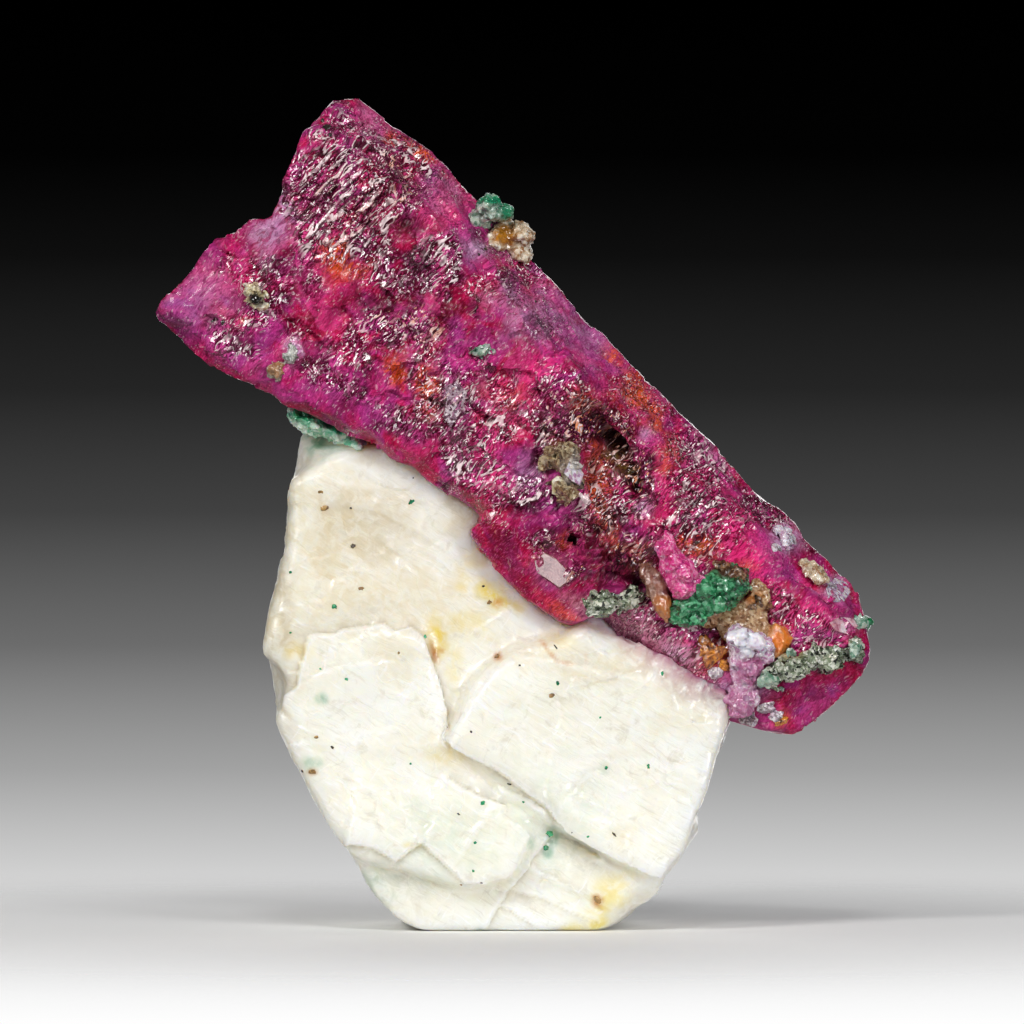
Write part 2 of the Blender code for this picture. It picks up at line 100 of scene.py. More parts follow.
def ease(share: np.ndarray) -> np.ndarray:
    """Shares from 0 to 1, eased at both ends."""
    return share * share * (3 - 2 * share)


def fade(distance: np.ndarray) -> np.ndarray:
    """1 at distance 0, falling smoothly to 0 at distance 1."""
    return ease(np.clip(1 - distance, 0, 1))


def cloud(points: np.ndarray, size: float, seed: int, octaves: int = 3) -> np.ndarray:
    """Soft noise.

    Args:
        points: Places in millimetres, three to a row.
        size: Size of the largest lumps.
        seed: Picks one pattern.
        octaves: Number of layers, each half the size of the one before.

    Returns:
        A number for each point, about -1 to 1.
    """
    total, share = np.zeros(len(points)), 1.0
    for octave in range(octaves):
        spots = points / size * 2**octave
        base = np.floor(spots)
        part = ease(spots - base)
        for corner in product((0, 1), repeat=3):
            weight = np.prod(np.where(corner, part, 1 - part), axis=1)
            total += share * weight * (2 * scatter(base + corner, seed + octave)[:, 0] - 1)
        share /= 2
    return total


def clouds(points: np.ndarray, size: float, *seeds: int) -> np.ndarray:
    """Soft noise with one column for each seed."""
    return np.column_stack([cloud(points, size, seed) for seed in seeds])


@dataclass
class Cells:
    """The irregular cell that each point lies in.

    Attributes:
        near: Distance to the cell's centre, counted in cells.
        offset: The way from the centre.
        chance: Three random numbers from 0 to 1 for the cell.
    """

    near: np.ndarray
    offset: np.ndarray
    chance: np.ndarray

    @classmethod
    def of(cls, points: np.ndarray, size: Sequence[float], seed: int) -> "Cells":
        """Finds the cell of each point.

        Args:
            points: Places in millimetres, three to a row.
            size: Size of a cell along each axis.
            seed: Picks one pattern.

        Returns:
            The cells.
        """
        spots = points / np.array(size)
        base = np.floor(spots)
        near = np.full(len(spots), FAR)
        offset, chance = np.zeros_like(spots), np.zeros_like(spots)
        for step in product((-1, 0, 1), repeat=3):
            cell = base + step
            numbers = scatter(cell, seed)
            way = spots - cell - numbers
            distance = np.sqrt((way * way).sum(axis=1))
            closer = distance < near
            near = np.where(closer, distance, near)
            offset[closer], chance[closer] = way[closer], numbers[closer]
        return cls(near, offset, scatter((chance * 9973).astype(int), seed + 5))


def facets(points: np.ndarray, size: Sequence[float], lean: float, level: float, seed: int) -> np.ndarray:
    """A surface broken into flat facets, each with its own lean and level.

    Args:
        points: Places in millimetres.
        size: Size of a facet along each axis.
        lean: Rise across a facet.
        level: Difference in height from one facet to the next.
        seed: Picks one pattern.

    Returns:
        The height of each point.
    """
    cell = Cells.of(points, size, seed)
    slope = 2 * cell.chance - 1
    return lean * (slope * cell.offset).sum(axis=1) + level * (slope[:, 0] + slope[:, 1]) / 2


# Places on the specimen


@dataclass(frozen=True)
class CrystalFrame:
    """The ruby's own frame: along it from its wide end, across it to its upper edge, and out of its face."""

    end: Triple = (-12.95, -2.2, 36.1)
    dip_degrees: float = 41.5

    def turn(self) -> np.ndarray:
        """The frame's three directions as rows.

        Returns:
            Directions along, across and out of the crystal.
        """
        dip = math.radians(self.dip_degrees)
        along = (math.cos(dip), 0.0, -math.sin(dip))
        across = (math.sin(dip), 0.0, math.cos(dip))
        return np.array((along, across, (0.0, -1.0, 0.0)))

    def inward(self, points: np.ndarray) -> np.ndarray:
        """Specimen millimetres to crystal millimetres."""
        return (points - np.array(self.end)) @ self.turn().T


CRYSTAL = CrystalFrame()


@dataclass(frozen=True)
class Patch:
    """A soft edged patch on a face, in that face's own two directions.

    Attributes:
        along: Place along the first direction.
        across: Place along the second direction.
        length: Half its size the first way.
        width: Half its size the other way.
        strength: Its value in the middle.
        turn: Degrees by which it is turned.
    """

    along: float
    across: float
    length: float
    width: float
    strength: float = 1.0
    turn: float = 0.0

    def value(self, flat: np.ndarray, ragged: Noise) -> np.ndarray:
        """The patch's value at each point.

        Args:
            flat: Places in the face's two directions.
            ragged: Noise that makes its edge uneven.

        Returns:
            Values from 0 to the patch's strength.
        """
        turn = math.radians(self.turn)
        x, y = flat[:, 0] - self.along, flat[:, 1] - self.across
        u = (x * math.cos(turn) + y * math.sin(turn)) / self.length
        v = (y * math.cos(turn) - x * math.sin(turn)) / self.width
        return self.strength * fade((np.hypot(u, v) + 0.45 * ragged) / 1.6)


def patches(*rows: Sequence[float]) -> Tuple[Patch, ...]:
    """Patches from rows of place, size, strength and turn."""
    return tuple(Patch(*row) for row in rows)


def patched(several: Iterable[Patch], flat: np.ndarray, ragged: Noise = 0.0) -> np.ndarray:
    """The strongest of several patches at each point.

    Args:
        several: The patches.
        flat: Places in the face's two directions.
        ragged: Noise that makes their edges uneven.

    Returns:
        Values from 0 to 1.
    """
    total = np.zeros(len(flat))
    for patch in several:
        total = np.maximum(total, patch.value(flat, ragged))
    return total


# Meshes


def add_object(name: str, data: bpy.types.ID) -> bpy.types.Object:
    """Puts a mesh, a light or a camera into the scene.

    Args:
        name: Its name.
        data: The mesh, light or camera.

    Returns:
        The object that holds it.
    """
    added = bpy.data.objects.new(name, data)
    bpy.context.scene.collection.objects.link(added)
    return added


def finished(name: str, shape: bmesh.types.BMesh) -> bpy.types.Mesh:
    """Turns a shape into a mesh.

    Args:
        name: The mesh's name.
        shape: The shape, which is used up.

    Returns:
        The mesh.
    """
    mesh = bpy.data.meshes.new(name)
    shape.to_mesh(mesh)
    shape.free()
    return mesh


def threes(items: bpy.types.bpy_prop_collection, field: str) -> np.ndarray:
    """Three numbers from each of a mesh's points or faces, as rows.

    Args:
        items: The points or faces.
        field: What is read from each.

    Returns:
        One row for each.
    """
    flat = np.empty(len(items) * 3, np.float32)
    items.foreach_get(field, flat)
    return flat.reshape(-1, 3)


class Skin:
    """A mesh that is being shaped, with its points in millimetres."""

    def __init__(self, name: str, source: bpy.types.Mesh, voxel: float) -> None:
        """Makes an even mesh over a copy of another.

        Args:
            name: The new object's name.
            source: The mesh to cover.
            voxel: Size of the new mesh's faces in millimetres.
        """
        self.object = add_object(name, source.copy())
        self.object.data.materials.clear()
        even = self.object.modifiers.new("Even", "REMESH")
        even.mode = "VOXEL"
        even.voxel_size = voxel * MM
        self.apply()

    @property
    def mesh(self) -> bpy.types.Mesh:
        """The mesh itself."""
        return self.object.data

    def apply(self) -> None:
        """Applies the object's modifiers."""
        bpy.context.view_layer.update()
        graph = bpy.context.evaluated_depsgraph_get()
        made = bpy.data.meshes.new_from_object(self.object.evaluated_get(graph))
        self.object.modifiers.clear()
        self.object.data = made

    def points(self) -> np.ndarray:
        """The points in millimetres."""
        return threes(self.mesh.vertices, "co").astype(float) / MM

    def normals(self) -> np.ndarray:
        """The direction that the surface faces at each point."""
        return threes(self.mesh.vertex_normals, "vector").astype(float)

    def place(self, points: np.ndarray) -> None:
        """Moves the mesh's points to these places in millimetres."""
        self.mesh.vertices.foreach_set("co", (points * MM).astype(np.float32).ravel())
        self.mesh.update()

    def raise_by(self, height: np.ndarray) -> None:
        """Moves each point out along its normal by its height."""
        self.place(self.points() + self.normals() * height[:, None])

    def refine(self, wanted: Callable[[np.ndarray, np.ndarray], np.ndarray]) -> None:
        """Splits some faces into four.

        Args:
            wanted: Takes the faces' centres and normals, and tells which to split.
        """
        chosen = wanted(threes(self.mesh.polygons, "center") / MM, threes(self.mesh.polygons, "normal"))
        fine = bmesh.new()
        fine.from_mesh(self.mesh)
        edges = dict.fromkeys(edge for face, split in zip(fine.faces, chosen) if split for edge in face.edges)
        bmesh.ops.subdivide_edges(fine, edges=list(edges), cuts=1, use_grid_fill=True)
        fine.to_mesh(self.mesh)
        fine.free()

    def relax(self, times: int, hold: Optional[np.ndarray] = None) -> None:
        """Evens out small edges.

        Args:
            times: Number of passes.
            hold: How firmly each point stays where it is, from 0 to 1.
        """
        ends = np.empty(len(self.mesh.edges) * 2, np.int32)
        self.mesh.edges.foreach_get("vertices", ends)
        first, second = ends[0::2], ends[1::2]
        points = self.points()
        count = np.bincount(np.concatenate((first, second)), minlength=len(points))
        give = 0.6 * (1 - hold if hold is not None else np.ones(len(points)))
        for _ in range(times):
            mean = np.empty_like(points)
            for axis in range(3):
                mean[:, axis] = np.bincount(first, points[second, axis], len(points))
                mean[:, axis] += np.bincount(second, points[first, axis], len(points))
            points += give[:, None] * (mean / count[:, None] - points)
        self.place(points)

    def mark(self, name: str, values: np.ndarray) -> None:
        """Writes one or three numbers for each point, which the materials read by name.

        Args:
            name: The mark's name.
            values: One number, or a row of three, for each point.
        """
        kind, field = ("FLOAT", "value") if values.ndim == 1 else ("FLOAT_VECTOR", "vector")
        layer = self.mesh.attributes.new(name, kind, "POINT")
        layer.data.foreach_set(field, values.astype(np.float32).ravel())

    def shade(self, sharp_degrees: float) -> None:
        """Shades the mesh smooth, apart from edges sharper than this."""
        self.mesh.shade_smooth()
        self.mesh.set_sharp_from_angle(angle=math.radians(sharp_degrees))

    def tree(self) -> BVHTree:
        """A search tree of the surface, in metres."""
        graph = bpy.context.evaluated_depsgraph_get()
        return BVHTree.FromObject(self.object, graph)


def settle(piece: bpy.types.Object, finish: bpy.types.Material, slot: str, *nodes: str) -> None:
    """Gives a piece its finish, and puts it in the place of its solids.

    Args:
        piece: The finished object.
        finish: Its material.
        slot: The record's slot for that material. It is not used.
        nodes: The solids that it stands for.
    """
    piece.data.materials.clear()
    piece.data.materials.append(finish)
    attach(piece, "root")
    if nodes:
        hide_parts(*nodes)
    piece.data.calc_loop_triangles()
    LOG.info("%s: %d triangles", piece.name, len(piece.data.loop_triangles))


# Materials


class Tree:
    """Shader nodes, with short ways to add and join them."""

    def __init__(self, tree: bpy.types.NodeTree) -> None:
        """Takes up a tree of nodes.

        Args:
            tree: The material's or the world's tree.
        """
        self.nodes, self.links = tree.nodes, tree.links

    def feed(self, socket: Socket, value: Feed) -> None:
        """Links a socket to another, or gives it a value.

        Args:
            socket: What is fed.
            value: Another socket, or a number or a few.
        """
        if isinstance(value, bpy.types.NodeSocket):
            self.links.new(value, socket)
        elif socket.type == "RGBA":
            socket.default_value = (*value, 1.0)
        else:
            socket.default_value = value

    def add(self, kind: str, inputs: Optional[dict] = None, **settings: object) -> bpy.types.Node:
        """Adds a node.

        Args:
            kind: Blender's name for the kind of node, without its first word.
            inputs: What goes into its sockets, by socket name or number.
            settings: Its other settings.

        Returns:
            The node.
        """
        node = self.nodes.new(f"ShaderNode{kind}")
        for setting, value in settings.items():
            setattr(node, setting, value)
        for socket, value in (inputs or {}).items():
            self.feed(node.inputs[socket], value)
        return node


class Graph(Tree):
    """A material's nodes, with the sums, noises and marks that its finish is built from."""

    def __init__(self, name: str) -> None:
        """Starts a material with one shader.

        Args:
            name: The material's name.
        """
        self.material = bpy.data.materials.new(name)
        self.material.use_nodes = True
        super().__init__(self.material.node_tree)
        self.shader = self.nodes["Principled BSDF"]

    def set(self, **values: Feed) -> None:
        """Feeds the shader's sockets, named with underscores for spaces."""
        for socket, value in values.items():
            self.feed(self.shader.inputs[socket.replace("_", " ")], value)

    def number(self, operation: str, first: Feed, second: Feed, clamp: bool = False) -> Socket:
        """Works out a number from two others."""
        return self.add("Math", {0: first, 1: second}, operation=operation, use_clamp=clamp).outputs[0]

    def times(self, first: Feed, second: Feed, clamp: bool = False) -> Socket:
        """Multiplies two numbers."""
        return self.number("MULTIPLY", first, second, clamp)

    def vector(self, operation: str, *inputs: Feed, **named: Feed) -> Socket:
        """Works out a place or a direction from others."""
        return self.add("VectorMath", {**dict(enumerate(inputs)), **named}, operation=operation).outputs[0]

    def range(
        self, value: Feed, low: float, high: float, to_low: float = 0.0, to_high: float = 1.0
    ) -> Socket:
        """A number moved smoothly from one range to another."""
        inputs = {0: value, 1: low, 2: high, 3: to_low, 4: to_high}
        return self.add("MapRange", inputs, interpolation_type="SMOOTHSTEP").outputs[0]

    def layered(self, colour: Feed, *layers: Tuple[Feed, Feed]) -> Feed:
        """Lays colours over one another.

        Args:
            colour: The colour under them all.
            layers: Each layer's share, from 0 to 1, and its colour.

        Returns:
            The colour seen.
        """
        for share, tint in layers:
            colour = self.add("Mix", {0: share, 6: colour, 7: tint}, data_type="RGBA").outputs[2]
        return colour

    def stained(self, colour: Feed, uneven: Socket, *stains: Tuple[str, Colour, float]) -> Feed:
        """Lays stains over a colour where the mesh is marked with them.

        Args:
            colour: The colour under them.
            uneven: A factor that makes them uneven.
            stains: Each stain's mark, its colour and its strength.

        Returns:
            The stained colour.
        """
        return self.layered(colour, *(
            (self.times(self.times(self.mark(mark), uneven), reach, clamp=True), tint)
            for mark, tint, reach in stains
        ))

    def mark(self, name: str) -> Socket:
        """A number that the mesh holds for each point."""
        return self.add("Attribute", attribute_name=name).outputs["Fac"]

    def way(self, name: str) -> Socket:
        """Three numbers that the mesh holds for each point."""
        return self.add("Attribute", attribute_name=name).outputs["Vector"]

    def place(self) -> Socket:
        """The place on the specimen, in millimetres."""
        return self.scaled(self.add("TexCoord").outputs["Object"], (1 / MM, 1 / MM, 1 / MM))

    def scaled(self, way: Socket, by: Sequence[float]) -> Socket:
        """A place stretched along each axis."""
        return self.vector("MULTIPLY", way, by)

    def clouds(
        self, way: Socket, size: float, detail: float = 4.0, rough: float = 0.55, bend: float = 0.0
    ) -> Socket:
        """Soft noise whose lumps have this size in millimetres."""
        inputs = {"Vector": way, "Scale": 1 / size, "Detail": detail, "Roughness": rough, "Distortion": bend}
        return self.add("TexNoise", inputs).outputs["Fac"]

    def cells(self, way: Socket, size: float, feature: str = "F1", output: str = "Color") -> Socket:
        """Irregular cells of this size in millimetres."""
        return self.add("TexVoronoi", {"Vector": way, "Scale": 1 / size}, feature=feature).outputs[output]

    def parts(self, colour: Socket) -> Sequence[Socket]:
        """The three numbers in a colour."""
        return self.add("SeparateColor", {0: colour}).outputs

    def turned(self, way: Socket, degrees: float) -> Socket:
        """A place turned as seen from the front."""
        inputs = {"Vector": way, "Angle": math.radians(degrees)}
        return self.add("VectorRotate", inputs, rotation_type="Y_AXIS").outputs[0]

    def tilted(self, normal: Socket, colour: Socket, lean: Feed) -> Socket:
        """A normal leant over by a colour, so that each cell of that colour is a small flat facet."""
        leant = self.vector("SCALE", self.vector("ADD", colour, CENTRED), Scale=lean)
        return self.vector("NORMALIZE", self.vector("ADD", normal, leant))

    def bump(
        self, height: Socket, depth: float, strength: Feed = 1.0, normal: Optional[Socket] = None
    ) -> Socket:
        """A normal over fine relief of this depth in millimetres.

        Args:
            height: The relief, from 0 to 1.
            depth: How deep it is.
            strength: How much of it shows.
            normal: The normal under it, when it isn't the mesh's own.

        Returns:
            The normal over the relief.
        """
        inputs: dict = {"Height": height, "Distance": depth * MM, "Strength": strength}
        if normal is not None:
            inputs["Normal"] = normal
        return self.add("Bump", inputs).outputs[0]

    def warped(self, way: Socket, size: float, reach: float) -> Socket:
        """A place moved about by soft noise, so that patterns over it look grown.

        Args:
            way: The place.
            size: Size of the noise in millimetres.
            reach: How far places are moved.

        Returns:
            The moved place.
        """
        noise = self.add("TexNoise", {"Vector": way, "Scale": 1 / size, "Detail": 2.0}).outputs["Color"]
        return self.vector("MULTIPLY_ADD", self.vector("ADD", noise, CENTRED), (reach, reach, reach), way)

    def contours(self, noise: Socket, count: float, width: float, shift: float = 0.0) -> Socket:
        """Thin curved lines where noise crosses a number of levels.

        Args:
            noise: The noise.
            count: Number of levels from 0 to 1.
            width: Width of a line, as a share of the step between two levels.
            shift: How far the levels are moved, as a share of that step.

        Returns:
            1 on a line and 0 away from it.
        """
        level = self.number("PINGPONG", self.number("ADD", self.times(noise, count), shift), 0.5)
        return self.range(level, 0.5 * width, width, 1.0, 0.0)

    def surface_normal(self) -> Socket:
        """The mesh's own normal."""
        return self.add("NewGeometry").outputs["Normal"]


@dataclass(frozen=True)
class RubyFinish:
    """Glossy etched corundum, from wine red to violet, with iron stain, lilac frost and pink glow, and
    painted glints and painted shade along its etched ridges.
    """

    # Dark tone for darker patches and grain, and painted shade in the furrows.
    shade: Colour = (0.05, 0.0006, 0.009)
    crimson: Colour = (0.58, 0.006, 0.075)
    plum: Colour = (0.5, 0.03, 0.23)
    bright: Colour = (0.84, 0.07, 0.34)
    violet: Colour = (0.36, 0.045, 0.25)
    wine: Colour = (0.14, 0.005, 0.014)
    light: Colour = (0.84, 0.17, 0.44)
    # Painted highlight: the bright colour of the etched ridges, the band crests and tiny dots.
    glint: Colour = (1.0, 0.8, 0.82)
    fibre: Colour = (0.8, 0.24, 0.06)
    bloom: Colour = (0.58, 0.34, 0.55)
    glow: Colour = (0.88, 0.03, 0.22)
    rosy: Colour = (0.52, 0.17, 0.22)
    rust: Colour = (0.75, 0.1, 0.008)
    # Nearly black, laid over the sunk hollows.
    hollow: Colour = (0.006, 0.001, 0.0008)
    moss: Colour = (0.15, 0.085, 0.015)
    light_index: float = 1.77

    def colour(
        self, graph: Graph, place: Socket, drawn: Socket, lines: Tuple[Socket, Socket, Socket]
    ) -> Feed:
        """The colour from place to place.

        Args:
            graph: The material.
            place: The place on the crystal.
            drawn: The place drawn out along the etched ridges.
            lines: Etched ridges, painted with glints, the furrows beside them, painted with shade, and finer
                curled ridges, painted with glints.

        Returns:
            The colour.
        """
        broad = graph.clouds(place, 2.6, 3, 0.62, 0.8)
        other = graph.clouds(graph.scaled(place, (0.62, 0.55, 0.6)), 1.1, 3, 0.6, 0.5)
        fine = graph.clouds(drawn, 0.5, 4, 0.68, 1.2)
        grit = graph.clouds(drawn, 0.17, 2, 0.75)
        broken = graph.range(graph.clouds(place, 0.6, 2), 0.44, 0.5)
        plate = graph.parts(graph.cells(graph.warped(place, 1.5, 0.9), 1.5))
        fleck = graph.parts(graph.cells(drawn, 0.11))
        crack = graph.cells(graph.warped(place, 1.1, 0.5), 1.3, "DISTANCE_TO_EDGE", "Distance")
        etched, wine, ridge = (graph.mark(name) for name in ("etched", "wine", "ridge"))
        blotchy = graph.range(etched, 0, 0.3, 0.4, 1)
        rough = graph.range(etched, 0, 0.6, 0.3, 1)
        grainy = graph.range(etched, 0, 0.4, 0.4, 1)
        violet = graph.range(other, 0.5, 0.72, 0, 0.6)
        colour = graph.layered(
            self.crimson,
            (graph.range(broad, 0.43, 0.6), self.plum),
            (graph.number("ADD", graph.mark("violet"), violet, clamp=True), self.violet),
            (wine, self.wine),
            (graph.times(graph.range(plate[0], 0.55, 0.8, 0, 0.7), blotchy), self.shade),
            (graph.range(plate[1], 0.6, 0.9, 0, 0.35), self.bright),
            (graph.times(graph.range(other, 0.5, 0.37, 0, 0.85), blotchy), self.shade),
        )
        colour = graph.stained(
            colour, graph.range(fine, 0.36, 0.56, 0.35, 1.3),
            ("glow", self.glow, 0.9), ("rosy", self.rosy, 0.9), ("bloom", self.bloom, 0.9),
            ("rust", self.rust, 1.0),
        )
        for noise, low, high, reach, zone, tint in (
            (fine, 0.52, 0.42, 0.9, rough, self.shade), (fine, 0.57, 0.66, 0.6, rough, self.bright),
            (grit, 0.475, 0.41, 0.85, grainy, self.shade), (grit, 0.55, 0.61, 0.4, grainy, self.light),
        ):
            share = graph.times(graph.range(noise, low, high, 0, reach), zone)
            colour = graph.layered(colour, (share, tint))
        busy = graph.times(graph.range(etched, 0.2, 0.6), graph.range(other, 0.42, 0.56, 0.1, 1))
        busy = graph.times(busy, broken)
        quiet = graph.times(graph.range(etched, 0.05, 0.5, 0.15, 0.9), graph.range(broken, 1, 0))
        cracked = graph.times(graph.range(crack, 0, 0.05, 0.8, 0), graph.range(etched, 0.15, 0.6))
        # Painted glints: tiny bright dots, and the crests of the growth bands.
        glint_dots = graph.times(graph.range(fleck[0], 0.955, 0.97), graph.range(etched, 0, 0.5, 0.2, 1))
        crest_glint = graph.times(graph.range(ridge, 0.5, 0.7), graph.range(broken, 0, 1, 0.3, 1))
        moss = graph.times(graph.mark("moss"), graph.range(fine, 0.4, 0.55, 0.4, 1.2), clamp=True)
        hollow = graph.times(graph.mark("hollow"), graph.range(fine, 0.62, 0.45, 0.35, 1.25), clamp=True)
        # Where it is wine red, the painted glints take an orange fibre colour.
        fibres = graph.times(wine, graph.range(fleck[1], 0.2, 0.5))
        glint = graph.layered(self.glint, (fibres, self.fibre))
        return graph.layered(
            colour,
            (cracked, self.shade),
            (moss, self.moss),
            (hollow, self.hollow),
            # Painted shade in the furrows of the growth bands and in the furrows beside the etched ridges.
            (graph.range(ridge, -0.35, -0.8, 0, 0.85), self.shade),
            (graph.times(lines[1], busy), self.shade),
            # Painted glints on the curled ridges, the dots, the band crests and the etched ridges.
            (graph.times(lines[2], quiet), glint),
            (glint_dots, glint),
            (crest_glint, glint),
            (graph.times(lines[0], busy), glint),
        )

    def make(self) -> bpy.types.Material:
        """Builds the material.

        Returns:
            The ruby's material.
        """
        graph = Graph("ruby")
        place = graph.way("crystal")
        bent = graph.warped(place, 1.2, 0.5)
        drawn = graph.scaled(bent, (2.2, 0.75, 1.2))
        etched, banded = graph.mark("etched"), graph.mark("banded")
        lean = graph.range(etched, 0, 1, 0.04, 0.42)
        curved = graph.clouds(graph.scaled(bent, (1.8, 0.6, 1)), 1, 2, 0.5, 0.3)
        combed = graph.clouds(graph.scaled(bent, (2.6, 0.4, 1)), 1.1, 2, 0.5, 0.3)
        pattern = graph.add("Mix", {0: banded, 2: curved, 3: combed}).outputs[0]
        curl = graph.clouds(graph.scaled(bent, (1.5, 0.8, 1.1)), 0.5, 2, 0.6, 0.8)
        lines = (
            graph.contours(pattern, 4, 0.13),
            graph.contours(pattern, 4, 0.18, 0.17),
            graph.contours(curl, 3, 0.08),
        )
        facet = graph.cells(graph.scaled(bent, (1.8, 0.75, 1)), 0.5)
        sliver = graph.cells(graph.scaled(bent, (2.2, 0.5, 1.2)), 0.19)
        dull = graph.times(
            graph.range(graph.mark("wine"), 0, 1, 1, 0.4), graph.range(graph.mark("hollow"), 0, 1, 1, 0.1)
        )
        lined = graph.bump(lines[0], 0.05, etched, graph.surface_normal())
        inner = graph.tilted(lined, facet, lean)
        outer = graph.tilted(lined, sliver, lean)
        graph.set(
            Base_Color=self.colour(graph, place, drawn, lines),
            Roughness=graph.range(etched, 0, 0.4, 0.34, 0.1),
            IOR=self.light_index,
            Specular_IOR_Level=graph.range(etched, 0, 0.4, 0.05, 0.2),
            Normal=inner,
            Coat_Weight=graph.times(graph.range(etched, 0, 0.5, 0.1, 0.7), dull),
            Coat_Roughness=0.05,
            Coat_IOR=1.5,
            Coat_Normal=outer,
        )
        return graph.material


@dataclass(frozen=True)
class CalciteFinish:
    """Waxy broken calcite, white to cream, with iron streaks and a little green."""

    white: Colour = (0.9, 0.88, 0.78)
    veil: Colour = (0.95, 0.94, 0.86)
    cream: Colour = (0.77, 0.68, 0.48)
    # Grey tone; also painted shade at the foot of each step.
    grey: Colour = (0.5, 0.44, 0.34)
    yellow: Colour = (0.84, 0.66, 0.1)
    rust: Colour = (0.6, 0.24, 0.02)
    green: Colour = (0.3, 0.52, 0.38)
    ruby: Colour = (0.42, 0.05, 0.17)
    # Bare white of cleaved faces; also the painted highlight on the steps' rims.
    bare_and_highlight: Colour = (0.98, 0.97, 0.93)

    def make(self) -> bpy.types.Material:
        """Builds the material.

        Returns:
            The calcite's material.
        """
        graph = Graph("calcite")
        place = graph.place()
        bent = graph.warped(place, 1.6, 0.6)
        broad = graph.clouds(place, 3.2, 5, 0.6, 0.8)
        fine = graph.clouds(bent, 0.8, 5, 0.62, 0.6)
        along = graph.scaled(bent, (0.35, 0.6, 2.4))
        cleaved = [
            graph.clouds(graph.scaled(graph.turned(bent, turn), (0.3, 0.8, 3.2)), 0.6, 3, 0.65)
            for turn in (-31, 56)
        ]
        colour = graph.layered(
            self.white,
            (graph.range(broad, 0.42, 0.6), self.veil),
            (graph.range(graph.clouds(along, 1.2, 3), 0.5, 0.7, 0, 0.7), self.veil),
            (graph.range(fine, 0.45, 0.3, 0, 0.28), self.grey),
            (graph.range(cleaved[0], 0.56, 0.72, 0, 0.9), self.bare_and_highlight),
            (graph.range(cleaved[1], 0.6, 0.72, 0, 0.8), self.bare_and_highlight),
            (graph.range(cleaved[0], 0.42, 0.3, 0, 0.22), self.grey),
        )
        colour = graph.stained(
            colour, graph.range(fine, 0.34, 0.6, 0.4, 1.25),
            ("cream", self.cream, 0.75), ("grey", self.grey, 0.7), ("green", self.green, 0.9),
            ("yellow", self.yellow, 0.9), ("rust", self.rust, 1.0), ("ruby", self.ruby, 1.0),
            # Painted shade at the foot of each step, and a painted highlight on its rim.
            ("foot", self.grey, 0.5), ("rim", self.bare_and_highlight, 0.8),
        )
        waxy = graph.bump(graph.clouds(bent, 1.1, 4, 0.5), 0.05)
        waxy = graph.bump(graph.contours(graph.clouds(bent, 3, 2, 0.4), 5, 0.04), 0.02, 0.5, waxy)
        waxy = graph.bump(graph.clouds(place, 0.18, 3, 0.6), 0.014, 1, waxy)
        waxy = graph.bump(cleaved[0], 0.04, 1, waxy)
        graph.set(
            Base_Color=colour,
            Roughness=graph.range(fine, 0.3, 0.7, 0.3, 0.5),
            IOR=1.6,
            Normal=waxy,
            Subsurface_Weight=1.0,
            Subsurface_Radius=(1.0, 0.88, 0.66),
            Subsurface_Scale=2.2 * MM,
            Coat_Weight=0.25,
            Coat_Roughness=0.12,
        )
        return graph.material


@dataclass(frozen=True)
class GrainFinish:
    """A small mineral: its main, light and dark colours, and how it takes the light.

    Attributes:
        name: The material's name.
        main: Its commonest colour.
        light: Its lightest colour.
        dark: Its darkest colour.
        stain: The colour where the grain is stained.
        roughness: Its surface's roughness.
        depth: How much light sinks into it, from 0 to 1.
        clear: How see-through it is, from 0 to 1.
        speckle: Size of its speckles in millimetres.
        contrast: How strong the speckles are, from 0 to 1.
    """

    name: str
    main: Colour
    light: Colour
    dark: Colour
    stain: Colour = (0.5, 0.2, 0.02)
    roughness: float = 0.25
    depth: float = 0.3
    clear: float = 0.0
    speckle: float = 0.26
    contrast: float = 0.7

    def make(self) -> bpy.types.Material:
        """Builds the material.

        Returns:
            The grain's material.
        """
        graph = Graph(self.name)
        place = graph.place()
        fine = graph.clouds(place, 0.5, 5, 0.65, 1)
        cell = graph.cells(graph.warped(place, 0.6, 0.2), self.speckle)
        chance = graph.parts(cell)
        uneven = graph.range(fine, 0.35, 0.6, 0.7, 2.2)
        colour = graph.layered(
            self.dark,
            (graph.range(fine, 0.36, 0.5), self.main),
            (graph.range(fine, 0.5, 0.66), self.light),
            (graph.range(chance[0], 0.68, 0.9, 0, self.contrast), self.light),
            (graph.range(chance[1], 0.72, 0.92, 0, self.contrast), self.dark),
            (graph.times(graph.mark("stain"), uneven, clamp=True), self.stain),
        )
        normal = graph.tilted(graph.surface_normal(), cell, 0.55)
        normal = graph.bump(graph.clouds(place, 0.12, 3), 0.03, 1, normal)
        graph.set(
            Base_Color=colour,
            Roughness=self.roughness,
            IOR=1.58,
            Normal=normal,
            Subsurface_Weight=self.depth,
            Subsurface_Radius=(1.0, 0.8, 0.6),
            Subsurface_Scale=0.4 * MM,
            Transmission_Weight=self.clear,
            Coat_Weight=0.7,
            Coat_Roughness=0.4 * self.roughness,
        )
        return graph.material


# The ruby


